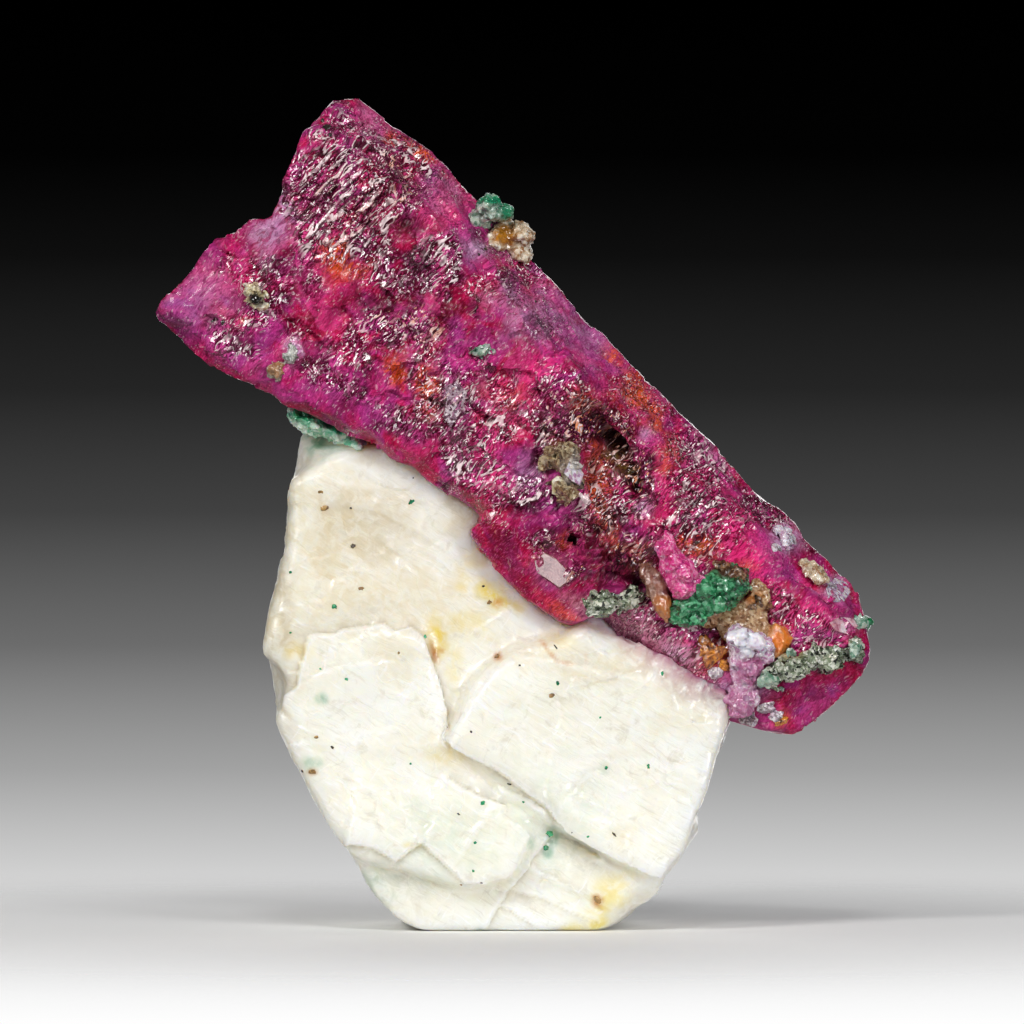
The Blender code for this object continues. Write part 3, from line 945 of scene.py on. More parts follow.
@dataclass
class RubyCrystal:
    """The large ruby crystal, with etched relief on its solid's faces.

    Attributes:
        voxel: Size of the even mesh's faces, before the displayed faces are split.
        fuller: How far its sides are moved out again after smoothing.
        band: Size of a growth band's ridges along, across and out of the crystal.
        band_height: Height of a growth band's ridges.
        large, small, finest: Sizes of its facets along, across and out of it.
        large_lean: Rise across a large facet.
        large_level: Difference in height from one large facet to the next.
        pit: Size of a pit along, across and out of it.
        pit_depth: How much deeper a pit is than the hollow that it lies in.
        hollow_depth: Depth of a hollow.
        bands: Where growth bands cross the crystal as ridges, with painted glints on their crests and painted
            shade in their furrows.
        etched: Where it is finely etched.
        calm: Where its face is smooth.
        rust: Where iron stains it.
        hollow: Where it is sunk deep and coloured nearly black.
        bloom: Where it has a lilac frost; at the calcite contact it also paints light over the shaded groove.
        glow: Where it glows pink.
        violet: Where it is more violet.
        wine: Where it is dark brownish red.
        rosy: Where it is pale rose; at the calcite contact it also paints light over the shaded groove.
        moss: Where it is olive brown.
    """

    voxel: float = 0.27
    fuller: float = 0.12
    band: Triple = (0.3, 1.5, 1.0)
    band_height: float = 0.19
    large: Triple = (2.0, 1.4, 1.6)
    small: Triple = (0.6, 0.9, 0.7)
    finest: Triple = (0.3, 0.42, 0.3)
    large_lean: float = 0.34
    large_level: float = 0.2
    pit: Triple = (0.8, 0.7, 0.8)
    pit_depth: float = 0.55
    hollow_depth: float = 0.35
    bands: Tuple[Patch, ...] = patches(
        (-8.6, 37.5, 3, 2.1, 1, 48), (-7, 35.8, 2.2, 1.4, 1, 48), (-9.7, 35, 1.2, 0.6, 0.8, 48),
        (-3.8, 33.4, 1.2, 1.1), (-7.5, 39.2, 0.7, 0.9, 0.8), (-2.9, 26.2, 0.75, 1.1, 0.9), (4.5, 21.2, 1, 1),
        (9.4, 22, 1, 1.9, 1, 20), (-4.8, 30, 2, 1.2, 0.5), (2.4, 25, 1.3, 0.8, 0.5),
        (12.6, 20.9, 1.7, 0.9, 0.9), (-2.1, 23.5, 1.5, 0.8, 0.7), (5.3, 25.6, 0.8, 0.5, 0.5),
        (8.9, 20.2, 1.2, 0.7, 0.6), (-14.1, 30.2, 1.8, 1.2, 0.3), (0.7, 22, 0.7, 0.6, 0.7),
        (8.5, 24, 0.6, 0.7, 0.7), (1.7, 24.4, 0.5, 0.7, 0.8), (-0.6, 25, 1.2, 0.6, 0.4),
        (-5.8, 32.2, 1, 1, 0.5), (11.2, 22.5, 1, 0.7, 0.5),
    )
    etched: Tuple[Patch, ...] = patches(
        (-6.8, 37, 4, 3, 0.9, 48), (-3.8, 33.4, 1.3, 1.2), (-5.8, 29.8, 2.5, 1.2, 0.6),
        (-12.3, 32, 1.5, 1.5, 0.5), (0.4, 33.2, 2.5, 1.8, 0.7, -42), (1.7, 30, 1.2, 1, 0.4),
        (3.2, 25.2, 1.7, 1.3, 0.9), (5.4, 23, 1.7, 2.2, 0.9), (9.4, 22.5, 1.3, 2.5, 1, 20),
        (12.7, 21, 1.7, 1.1, 0.9), (-3, 26.2, 1.2, 1.4), (0.7, 22, 1.3, 0.8, 0.8),
        (7.9, 14.8, 1.5, 0.7, 0.5, -30), (5.7, 27, 1.1, 1.1, 0.5), (-8.1, 29, 1.7, 1, 0.6),
        (4.5, 21.2, 1.3, 1.2), (11.4, 24.5, 0.8, 2, 0.6, -42), (8.9, 19.8, 1.5, 1, 0.7),
        (-9.1, 27.6, 2.5, 0.8, 0.5, -28), (-5.6, 25.8, 1.8, 0.8, 0.5, -28), (-1.1, 25, 1.5, 1, 0.6),
        (14.4, 15.2, 1.5, 0.7, 0.4), (-10.6, 30, 1.2, 1, 0.4), (2.2, 19.2, 1, 0.5, 0.4),
    )
    rosy: Tuple[Patch, ...] = patches(
        # The first three patches lie at the calcite contact: they give its pale rose, and also paint light
        # over the shaded groove between ruby and calcite.
        (6.4, 14.5, 3.2, 1.1, 1, -32), (4.4, 15.1, 0.8, 0.4, 0.8, -20), (8.4, 13.8, 1.2, 0.7, 0.9, -30),
        (-0.2, 26.2, 1.7, 1.5, 0.15), (-1.7, 26.9, 0.7, 0.6, 0.5), (1.7, 17.9, 0.8, 0.9, 0.4, -40),
        (-4.1, 29.5, 0.7, 0.5, 0.3), (9.4, 15.5, 0.8, 0.5, 0.4),
    )
    calm: Tuple[Patch, ...] = patches(
        (-0.1, 18.5, 3.9, 1.3, 1, -46), (2.5, 16.2, 2, 1, 1, -32), (15.2, 11.4, 2.5, 1.2, 1, 30),
        (-16.3, 31.5, 2.2, 2.2, 0.9, 40), (11.9, 18.5, 1.2, 2, 0.6, 10), (-3.4, 36.5, 1.2, 1.4, 0.85),
        (-4.8, 35.1, 1.7, 1.2, 0.75), (-15.6, 32, 1.7, 1.3, 0.6), (11.8, 17.8, 1.3, 2, 0.75),
        (-7, 40.5, 1.4, 1, 1, -30), (16.2, 16.9, 0.9, 0.8, 0.7), (-8.1, 25.8, 2.3, 0.6, 0.6, -28),
        (-11.6, 27, 1.5, 0.4, 0.6, -32),
    )
    rust: Tuple[Patch, ...] = patches(
        (-4.3, 38.9, 1.3, 0.5, 1, -38), (-6, 39.6, 0.45, 0.45, 0.8), (-8.7, 33.6, 0.8, 1),
        (-7.8, 32.9, 1, 0.5, 0.7), (-5.8, 27.9, 0.7, 0.8, 0.9), (-4.2, 27.1, 0.65, 1.3, 0.8),
        (6.4, 27.2, 1.3, 1.3, 0.95, -50), (5.3, 28.9, 0.7, 0.6, 0.9, -50), (7.2, 25.8, 0.5, 0.8, 0.8),
        (4.3, 22.2, 0.7, 1.6), (4.7, 20.2, 0.6, 0.8, 0.8), (8.9, 19.5, 1.1, 0.7, 0.85),
        (9.7, 19.2, 0.8, 0.6, 0.9), (10.2, 13.8, 0.65, 0.85), (13.4, 14.5, 0.45, 0.65),
        (13.4, 10.6, 0.4, 0.4, 0.9), (2.4, 15.5, 1.1, 0.4, 0.5, -30), (-0.2, 26.5, 0.7, 0.6, 0.35),
        (3.3, 26.5, 1, 0.7, 0.55), (-13.2, 30.4, 0.25, 0.2, 0.7), (7.8, 23.8, 0.7, 1, 0.5),
        (2.4, 19.5, 0.5, 0.5, 0.6), (2.7, 15.8, 1.3, 0.35, 0.5, -32), (11.7, 18.2, 0.6, 0.4, 0.6),
        (6.3, 19.1, 0.5, 0.4, 0.5),
    )
    hollow: Tuple[Patch, ...] = patches(
        (5.3, 24.4, 0.8, 1), (6.1, 22.9, 0.55, 1.3, 1, 12), (4.5, 24.7, 0.6, 0.5, 0.8),
        (5.5, 20.9, 0.7, 0.5, 0.7), (3.1, 19.4, 0.45, 0.4, 0.7), (4.2, 20, 0.35, 0.3, 0.9),
        (-1.8, 30.9, 0.3, 0.55), (3.9, 25.2, 1.5, 0.8, 0.6), (5.4, 18.5, 1.2, 0.9, 0.75),
        (6.9, 23.4, 0.45, 0.45, 0.7), (2.2, 25.2, 0.6, 0.4, 0.7), (6.4, 17, 0.7, 0.6, 0.7),
        (4.7, 19.2, 1, 0.6, 0.6), (-5.8, 30.6, 1.1, 0.6, 0.45), (-6.6, 31.2, 1.5, 0.7, 0.4),
        (-5.1, 35.1, 0.75, 0.55, 0.55), (-5.1, 37.2, 0.7, 0.65, 0.5), (1.7, 23.4, 0.6, 0.7, 0.6),
        (9.2, 21.5, 0.6, 0.4, 0.45), (-9.2, 37.8, 1.2, 0.5, 0.35, 48), (-7.3, 36.8, 1.3, 0.4, 0.4, 48),
        (0.9, 21.2, 1.2, 0.6, 0.4), (3.4, 17.8, 1.5, 0.7, 0.45), (9.4, 15.1, 0.9, 0.5, 0.35),
        (-14.8, 30.4, 0.25, 0.2, 0.8), (4, 23, 0.4, 0.9, 0.6), (11.9, 16.5, 0.5, 0.3, 0.5),
    )
    bloom: Tuple[Patch, ...] = patches(
        (-7, 40.2, 0.9, 0.8, 0.4), (-3.4, 36.5, 1.2, 1.3, 0.35), (-15.3, 31.5, 1.7, 1.5, 0.25),
        (3.4, 29.8, 2, 1, 0.35, -42), (-12, 34.7, 1, 1.4, 0.7, -30), (-11.3, 35.9, 0.7, 0.7, 0.8),
        (-1.8, 34, 0.6, 0.5), (-2.6, 37.2, 0.6, 1.2, 0.5, -30), (-7, 40.9, 1, 0.4, 0.6, -42),
        (1.4, 31, 1.8, 1.5, 0.5), (-10.8, 28.9, 0.45, 0.75, 0.9), (-3, 26.3, 0.5, 0.9, 0.85),
        (13.7, 19.6, 0.85, 0.8), (16.2, 17, 0.9, 0.7, 0.75), (16.5, 15.2, 0.7, 0.4, 0.9),
        (11, 11.5, 1.5, 1.2, 0.8), (-0.3, 31.5, 1.3, 1, 0.4), (6.8, 24.9, 0.4, 0.35, 0.9),
        # The last patch on this row and the first two on the next lie at the calcite contact, where they also
        # paint light over the shaded groove.
        (0.7, 22.8, 0.8, 0.9, 0.4), (3.1, 23, 0.5, 0.6, 0.3), (8, 13.8, 1.2, 0.7, 0.5, -30),
        (6.4, 14.5, 2.2, 0.8, 0.35, -32), (4.9, 15.2, 1, 0.5, 0.7, -30), (6.4, 21.1, 0.45, 0.45, 0.8),
        (2.4, 32.2, 1.3, 0.5, 0.5, -42), (5.9, 29.8, 1.2, 0.4, 0.45, -42), (10.3, 23.8, 1.3, 0.4, 0.45, -42),
        (-15.8, 34.2, 1.3, 0.3, 0.6, 38), (3.9, 29.2, 1, 0.9, 0.3), (11.7, 12, 1, 0.9, 0.8),
        (10.2, 10.4, 0.6, 0.3, 0.7),
    )
    glow: Tuple[Patch, ...] = patches(
        (11.8, 17.9, 1.1, 2, 1, 12), (12.8, 16.5, 0.9, 0.8, 0.9), (11.2, 20.5, 1, 0.8, 0.7),
        (1.4, 27.9, 1, 0.9, 0.75), (-0.3, 26.6, 1.3, 1.2, 0.3), (0.2, 25.8, 1, 0.6, 0.25),
        (7.6, 21.5, 0.4, 1.3, 0.7), (9.4, 22.5, 1, 1.7, 0.55, 20), (6.4, 21.2, 0.5, 0.5, 0.9),
        (-3.3, 36.3, 1.1, 1.3, 0.8), (-7, 40.4, 1, 0.7, 0.7), (14.9, 16, 1.2, 0.7, 0.7),
        (16.3, 15.2, 0.6, 0.35), (1.8, 16.2, 1.4, 0.6, 0.3, -35), (-14.3, 32.5, 1.5, 1.1, 0.3),
        (-9.8, 31.5, 0.9, 0.7, 0.4), (-8.1, 29.2, 1, 0.6, 0.3), (5.4, 14, 1.3, 0.5, 0.5, -30),
        (8.9, 18.5, 0.6, 0.4, 0.6), (-1.6, 28.5, 0.8, 0.5, 0.4), (3.4, 28.5, 0.7, 0.5, 0.5),
        (7.4, 16.5, 0.6, 0.5, 0.4),
    )
    wine: Tuple[Patch, ...] = patches(
        (-3.6, 30.9, 1.4, 0.85), (-6.8, 31.1, 1.4, 0.9, 0.8), (4.4, 25, 2.3, 2), (4.6, 18.7, 3, 1.7, 1, -20),
        (6.4, 22.5, 1, 2, 0.9), (7.4, 21.5, 0.8, 0.7, 0.8), (2.4, 26.5, 1.5, 0.7, 0.7),
        (-6.6, 31.2, 2, 1, 0.8, -10), (-5.2, 37.1, 0.9, 0.9, 0.9), (-5.1, 35.1, 0.8, 0.6, 0.9),
        (-8.6, 31, 1.2, 0.8, 0.5), (-4.1, 29.5, 1.5, 0.9, 0.5), (1.7, 18.5, 1.2, 0.9, 0.7, -40),
        (-0.4, 18.7, 3.1, 1.2, 0.8, -46), (1.2, 17.1, 2.5, 1.2, 0.6, -42), (15.9, 15.8, 1.1, 0.25, 0.9, -15),
        (-6, 38.2, 0.7, 0.5, 0.7), (8.9, 18.5, 1.5, 0.7, 0.6), (3.2, 16.5, 1, 0.7, 0.5),
        (7.2, 16.5, 0.8, 0.5, 0.6), (-1.8, 30, 1, 0.7, 0.5), (13.4, 11.5, 2, 0.8, 0.45, 20),
        (-3.6, 26.8, 1, 0.6, 0.4), (6.9, 17, 1.3, 0.6, 0.6), (-7.8, 35.5, 2, 0.8, 0.4, 48),
        (-9.6, 36.5, 1.5, 0.6, 0.4, 48), (7.9, 24, 0.7, 1.2, 0.5),
    )
    moss: Tuple[Patch, ...] = patches(
        (5, 23.6, 0.8, 0.7), (5.7, 23.1, 0.5, 0.5, 0.9), (2.2, 23.9, 0.45, 1, 0.8),
        (4.4, 21.5, 0.4, 0.5, 0.5), (6.4, 18.2, 0.6, 0.3, 0.4), (9.4, 19.2, 0.4, 0.3, 0.4),
    )
    violet: Tuple[Patch, ...] = patches(
        (-16.1, 31.5, 2.7, 2.3, 0.7), (-3.3, 36.7, 1.2, 1.2, 0.5), (-2.1, 34.5, 1.1, 1.5, 0.6),
        (1.7, 30.5, 2.5, 1.8, 0.6, -42), (3.9, 29, 1.3, 1.2, 0.8), (-8.9, 26.9, 1.7, 0.7, 0.9, -28),
        (-5.6, 25.2, 2, 0.6, 0.8, -28), (0.6, 23, 1, 1.1), (9.4, 23.8, 1.3, 1.1, 0.7),
        (12.9, 18.8, 1.2, 1, 0.5), (-13.1, 28.5, 1.3, 1, 0.5), (-10.6, 33, 1, 0.9, 0.5),
        (6.4, 19.5, 1.5, 1.1, 0.5), (15.2, 11.5, 1.7, 0.9, 0.6, 30), (-7.6, 40.8, 0.8, 0.5, 0.5),
        (5.4, 29.5, 1.5, 0.5, 0.8, -42), (-2.6, 23, 1.2, 0.6, 0.6), (11.2, 11.5, 1.4, 1, 0.7),
        (15.4, 13.5, 1, 0.6, 0.4),
    )

    def relief(
        self, place: np.ndarray, banded: np.ndarray, etched: np.ndarray, rough: np.ndarray, deep: np.ndarray
    ) -> Tuple[np.ndarray, np.ndarray]:
        """Height of the etched surface.

        Args:
            place: Crystal millimetres of each point.
            banded: How much growth bands cross it, from 0 to 1.
            etched: How finely it is etched, from 0 to 1.
            rough: How rough it is, from 0 to 1.
            deep: How deeply it is etched, from 0 to 1.

        Returns:
            The height of each point, and where it lies on a growth band, from -1 in a furrow to 1 on a ridge.
        """
        shift = clouds(place, 1.6, 11, 12, 13)
        warped = place + 0.3 * shift
        band = Cells.of(place + 0.2 * (warped - place) / 0.3, self.band, 3)
        ridge = np.clip(band.offset[:, 0] * 2.6, -1, 1) * (0.35 + 0.65 * (band.chance[:, 2] > 0.35))
        height = (0.02 + self.band_height * banded) * (0.8 * ridge * 0.5 + 0.6 * (band.chance[:, 1] - 0.5))
        height += (1 - 0.5 * banded) * facets(warped, self.large, self.large_lean, self.large_level, 5)
        fine = facets(warped, self.small, 0.05 + 0.11 * etched, 0.03 + 0.06 * etched, 6)
        height += (1 - 0.7 * banded) * fine
        height += (0.3 + 0.7 * etched) * facets(place, self.finest, 0.04, 0.02, 7)
        height += 0.08 * (1 - np.abs(cloud(warped, 1.5, 21))) ** 5
        height *= rough
        pits = Cells.of(warped, self.pit, 9)
        pitted = (pits.chance[:, 0] > 0.5) * fade(pits.near * 1.3)
        height -= deep * (self.hollow_depth + self.pit_depth * pitted)
        return height, ridge * banded

    def build(self) -> Skin:
        """Builds the crystal and marks its colours.

        Returns:
            The finished crystal's surface.
        """
        skin = Skin("ruby_crystal_etched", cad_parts["ruby_crystal"].data, self.voxel)
        skin.refine(lambda centres, normals: normals @ CRYSTAL.turn()[2] > 0.3)
        skin.relax(3)
        skin.refine(lambda centres, normals: patched(self.bands, centres[:, (0, 2)]) > 0.3)
        points = skin.points()
        place, flat = CRYSTAL.inward(points), points[:, (0, 2)]
        facing = skin.normals() @ CRYSTAL.turn()[2]
        front = np.clip(facing * 1.6 - 0.3, 0, 1)
        near = fade(np.clip(1 - facing * 1.5, 0, 1))
        wild = cloud(place, 1.3, 31)
        banded = patched(self.bands, flat, wild) * front
        deep = patched(self.hollow, flat, wild) * front
        rough = np.clip(1 - patched(self.calm, flat, 0.4 * wild) * front, 0.1, 1) * (0.35 + 0.65 * front)
        patchy = np.clip(1.1 * cloud(place, 2.0, 33), 0, 0.4)
        etched = np.clip(np.maximum(patched(self.etched, flat, wild), patchy) + banded, 0, 1) * rough
        height, ridge = self.relief(place, banded, etched, rough, deep)
        skin.raise_by(height + self.fuller * (1 - front))
        for name, values in (("crystal", place), ("etched", etched), ("banded", banded), ("ridge", ridge)):
            skin.mark(name, values)
        for number, name in enumerate(("rust", "hollow", "bloom", "glow", "violet", "wine", "rosy", "moss")):
            ragged = cloud(place, 0.8, 41 + number, 4)
            skin.mark(name, patched(getattr(self, name), flat, ragged) * near)
        skin.shade(32)
        settle(skin.object, RubyFinish().make(), "ruby", "ruby_crystal")
        return skin


# The calcite


@dataclass(frozen=True)
class Step:
    """A step in a broken face, higher on the right of its line.

    Attributes:
        height: How high it is at its line.
        reach: Distance over which the height fades away.
        line: Places across and up the face.
        slope: Distance over which the face rises from its foot.
        ragged: Distance over which its ends run out.
        foot_shade_width: Reach of the painted shade line at its foot.
        rim_highlight_width: Half the width of the painted highlight line on its rim.
    """

    height: float
    reach: float
    line: Tuple[Tuple[float, float], ...]
    slope: float = 0.14
    ragged: float = 0.6
    foot_shade_width: float = 0.16
    rim_highlight_width: float = 0.07

    def rise(self, flat: np.ndarray) -> Tuple[np.ndarray, np.ndarray, np.ndarray]:
        """The step's height at each place.

        Args:
            flat: Places across and up the face.

        Returns:
            Heights in millimetres, and how much painted shade each place takes at the step's foot and painted
            highlight on its rim.
        """
        best = np.full(len(flat), FAR)
        side, beyond = np.zeros(len(flat)), np.zeros(len(flat))
        line = np.array(self.line)
        for number, (start, finish) in enumerate(zip(line[:-1], line[1:])):
            way = finish - start
            long = float(np.hypot(*way))
            way = way / long
            along = (flat - start) @ way
            across = (flat - start) @ np.array((way[1], -way[0]))
            spare = np.maximum(np.maximum(-along, along - long), 0)
            distance = np.hypot(across, spare)
            closer = distance < best
            best = np.where(closer, distance, best)
            side = np.where(closer, np.sign(across), side)
            last = (number == 0) & (along < 0) | (number == len(line) - 2) & (along > long)
            beyond = np.where(closer, np.where(last, spare, 0), beyond)
        rise = np.clip(best / self.slope, 0, 1)
        ends = fade(beyond / self.ragged)
        seen = ends * min(self.height * 4, 1)
        # Painted shade along the step's foot, and a painted highlight along its rim.
        foot = np.exp(-best / self.foot_shade_width) * (side <= 0) * seen
        rim = np.exp(-np.abs(best - self.foot_shade_width) / self.rim_highlight_width) * (side > 0) * seen
        return self.height * (side > 0) * rise * np.exp(-best / self.reach) * ends, foot, rim


@dataclass
class CalciteMatrix:
    """The broken calcite, drawn close round the ruby that it holds.

    Attributes:
        voxel: Size of the even mesh's faces.
        reach: Distance from the ruby within which the calcite is drawn up to it.
        apron: How much further it is drawn up below the ruby's narrow end.
        narrow_end: Where the ruby's narrow end begins, across the specimen.
        search: Distance within which the ruby is looked for.
        overlap: How far points are drawn, as a share of their gap.
        lump: Size of its broad low lumps.
        broken, chipped: Sizes of its large and small broken facets across, into and up it.
        slab: Size of a cleaved slab along, across and out of the ruby's direction.
        slab_height: How far a slab stands out.
        steps: Cleavage steps across its front.
        stains: Patches of each colour across its front.
    """

    voxel: float = 0.23
    reach: float = 0.7
    apron: float = 1.6
    narrow_end: float = 2.5
    search: float = 4.0
    overlap: float = 1.1
    lump: float = 2.4
    broken: Triple = (2.8, 2.8, 1.8)
    chipped: Triple = (0.9, 0.9, 0.5)
    slab: Triple = (3.2, 0.5, 1.5)
    slab_height: float = 0.05
    steps: Tuple[Step, ...] = (
        Step(0.3, 2.2, (
            (-11.4, 11.7), (-10.7, 12.3), (-10.5, 13.4), (-10.1, 14.8), (-8.8, 14.9), (-8.4, 15.2),
            (-7.3, 15.2), (-6.3, 15.4), (-5.7, 15), (-5, 15.2), (-4.5, 14.8), (-3.9, 13.4), (-3.5, 12.2),
            (-3.2, 10.9), (-3.1, 9.4),
        )),
        Step(0.07, 1.6, (
            (-3.2, 10), (-2.3, 11.3), (-1, 12.8), (-0.3, 13.9), (1.1, 13.8), (3.8, 13.2), (5.9, 12.8),
            (8.9, 12),
        )),
        Step(0.38, 2.6, (
            (7.6, 2.6), (6.6, 3), (5.4, 3.6), (4.3, 4.2), (3.1, 4.8), (2.3, 5.5), (1.8, 6.1), (0.8, 6.9),
            (-0.1, 7.6), (-1, 8.2), (-2.3, 8.8), (-3.1, 9.4),
        )),
        Step(0.26, 1.4, (
            (-3.1, 7.7), (-2.3, 7.2), (-1.3, 6.7), (-0.5, 6.3),
        )),
        Step(0.24, 1.6, (
            (-0.3, 7.2), (0.8, 6.7), (1.6, 6.2), (2.2, 5.4), (2.1, 4.9), (0.9, 3.4), (-0.6, 1.4),
            (-1.3, -0.1),
        )),
        Step(0.08, 0.7, (
            (-0.1, 7.2), (-1.2, 5.6), (-2.4, 3.9),
        )),
        Step(0.06, 0.6, (
            (-1, 5.9), (-2.1, 4.2), (-3, 3.1),
        )),
        Step(0.18, 0.6, (
            (0.9, 3.5), (1.8, 2.9), (3.2, 2.2), (4.4, 1.2),
        )),
        Step(0.16, 0.6, (
            (4.2, 0.5), (2.4, 1.2), (1.4, 1.7), (-0.5, 2.2),
        )),
        Step(0.22, 1.0, (
            (2, -0.3), (0.7, 0.6), (-0.5, 1.2),
        )),
        Step(0.1, 0.5, (
            (5.1, 2.9), (4.4, 3.3), (3.8, 3.6),
        )),
        Step(0.34, 1.0, (
            (-1.4, 2.5), (-2.3, 2.5), (-3.1, 3.1), (-3.9, 3.9), (-4.5, 4.4),
        )),
        Step(0.36, 1.6, (
            (-4.5, 4.4), (-5.1, 4), (-5.7, 3.5), (-6.9, 4.2), (-8, 4.4),
        )),
        Step(0.05, 0.8, (
            (2.4, 6.5), (3.7, 8), (4.3, 8.1), (5.7, 7.2), (7.4, 7.5),
        )),
        Step(0.07, 1.6, (
            (-2.8, 18.5), (-4.6, 19.8), (-6.6, 20.8), (-8.3, 21.2),
        )),
        Step(0.05, 0.8, (
            (-11.1, 12), (-9.1, 13.1), (-6.3, 13.8), (-5.6, 12), (-4.1, 11.2),
        )),
    )
    stains: Tuple[Tuple[str, Tuple[Patch, ...]], ...] = (
        ("cream", patches(
            (3.9, 13.4, 3, 1, 0.7, -8), (-5.6, 15.9, 4.5, 2, 0.5), (-8.3, 19.5, 3.5, 4),
            (-5.6, 16.5, 4, 2.2, 0.8), (-2.1, 21, 1.5, 1.3, 0.9), (-9.1, 23, 1.5, 0.8, 0.5),
            (-11.4, 15.5, 1.3, 3.8, 0.9), (-8.8, 16.5, 3, 1.5, 0.8), (1.4, 14, 3, 1.3, 0.5),
            (-5.6, 14, 2, 1.5, 0.35), (7.4, 12, 1.5, 1, 0.4), (9.4, 10.5, 1.3, 0.8, 0.5),
            (7.2, 10.2, 0.6, 1, 0.4), (5.4, 4.8, 0.7, 1, 0.4), (-3.6, 9, 1.5, 1, 0.5),
        )),
        # Grey: the narrow patches that run along the main cleavage step are painted shade in its valley; the
        # rest are grey tone.
        ("grey", patches(
            (-2.4, 21.5, 1.2, 1, 0.9, -30), (-7.6, 21.1, 3, 1.3, 0.35), (-5.8, 19.2, 2.5, 1.2, 0.25),
            (-4.8, 23.4, 2.5, 0.5, 0.6, -24), (-7, 24, 1.3, 0.5, 0.6), (-11.3, 16, 0.5, 3, 0.6),
            (8.9, 12, 1.5, 0.8, 0.6, -20), (-5.8, 2, 2, 1.2, 0.5, -30), (-11.6, 11.5, 0.7, 3, 0.5, 15),
            (5.9, 1.2, 1.3, 0.6, 0.6, 35), (-10.6, 23.5, 0.4, 1.5, 0.6), (3.7, 4.2, 2, 0.25, 0.8, -30),
            (9.4, 14.5, 1.5, 0.5, 0.5, -30), (3.4, 3.5, 2, 0.8, 0.5, -30), (0.9, 1.5, 1.5, 0.5, 0.5, -28),
            (0.4, 7.4, 3, 0.35, 0.5, -32), (-12, 14.5, 0.6, 3, 0.5), (-1.6, 7, 1.5, 0.4, 0.35, -30),
        )),
        ("green", patches(
            (-9.8, 24.9, 0.9, 1.1), (-7.8, 25, 1.2, 0.5, 0.8, -30), (-7.1, 2, 1.3, 1.5, 0.4),
            (2, 4.8, 0.35, 0.55, 0.9), (1.8, 4, 0.3, 0.3, 0.8), (0.9, 4.4, 0.25, 0.3, 0.5),
            (-9.4, 11.6, 0.3, 0.25, 0.7), (-10, 8.4, 0.45, 0.4, 0.6), (10, 12, 0.7, 0.8, 0.7),
            (9.4, 13.1, 0.5, 0.4, 0.5), (-1.6, -0.1, 0.3, 0.4, 0.5), (-3.6, 4.5, 3, 2.5, 0.2),
            (1.9, 5.5, 3, 3, 0.18), (4.7, 8.2, 0.3, 0.35, 0.3),
        )),
        ("yellow", patches(
            (-1, 16.9, 1.3, 0.65, 1, -25), (-1.3, 17, 0.9, 0.6, 1, -25), (-0.2, 16.4, 1, 0.45, 1, -30),
            (-3.7, 14.5, 0.5, 1.3, 1, 8), (-3.7, 14.1, 0.5, 0.9, 0.9), (0.2, 16.2, 0.8, 0.4, 0.6, -35),
            (-2.8, 13.5, 0.4, 1.2, 0.3), (4.8, 1.8, 1.3, 0.9, 0.6, 25), (3.7, 0.2, 1.2, 0.4, 0.8, 15),
            (-2.1, 15.5, 1.5, 0.8, 0.35), (2.4, 14.5, 1, 0.5, 0.25), (-5.1, 4.4, 0.4, 0.2, 0.6),
            (-1.6, 18.5, 1, 0.7, 0.35), (-10.6, 14, 0.7, 0.4, 0.4), (-3.1, 8.8, 0.8, 0.4, 0.4),
        )),
        ("rust", patches(
            (1.7, 14.2, 0.35, 0.12, 0.6, -50), (2, 13.8, 0.4, 0.12, 0.6, -40),
            (2.7, 13.4, 0.45, 0.1, 0.5, -8), (3.7, 13.6, 0.12, 0.4, 0.35), (-3.9, 13.9, 0.2, 0.5, 0.8, 15),
            (4.3, 1.6, 0.25, 0.3, 1, -60), (-9.9, 8, 0.35, 0.2), (-0.7, 16.4, 0.3, 0.25, 0.7),
            (-3.5, 14, 0.2, 0.15, 0.4), (0.7, 17, 1.5, 0.1, 0.25, -30), (-7, 24.1, 0.3, 0.12, 0.9, -30),
            (-0.7, 13.7, 0.25, 0.25, 0.8),
        )),
    )

    def facing(self, skin: Skin) -> np.ndarray:
        """How much each point of the skin belongs to the front, from 0 to 1."""
        return np.clip(-skin.normals()[:, 1] * 2 - 0.6, 0, 1) * fade((skin.points()[:, 1] - 1) / 3)

    def relief(self, place: np.ndarray, front: np.ndarray) -> Tuple[np.ndarray, np.ndarray, np.ndarray]:
        """Height of the broken surface.

        Args:
            place: Specimen millimetres of each point.
            front: How much each point faces the front, from 0 to 1.

        Returns:
            The height of each point, and its share of painted shade at a step's foot and of painted highlight
            on a step's rim.
        """
        warped = place + 0.5 * clouds(place, 3.0, 51, 52, 53)
        height = 0.05 * cloud(place, self.lump, 54) + facets(warped, self.broken, 0.07, 0.035, 55)
        height += facets(warped, self.chipped, 0.02, 0.012, 57)
        slab = Cells.of(warped @ CRYSTAL.turn().T, self.slab, 58)
        slabbed = np.clip(cloud(place, 4.0, 56) * 2 + 0.3, 0, 1)
        height += self.slab_height * (slab.chance[:, 0] > 0.6) * slabbed
        flat = place[:, (0, 2)] + 0.06 * clouds(place, 0.6, 59, 60)
        foot_shades, rim_highlights = np.zeros(len(place)), np.zeros(len(place))
        for step in self.steps:
            rise, foot, rim = step.rise(flat)
            height += rise * front
            foot_shades, rim_highlights = np.maximum(foot_shades, foot * front), np.maximum(rim_highlights, rim * front)
        return height, foot_shades, rim_highlights

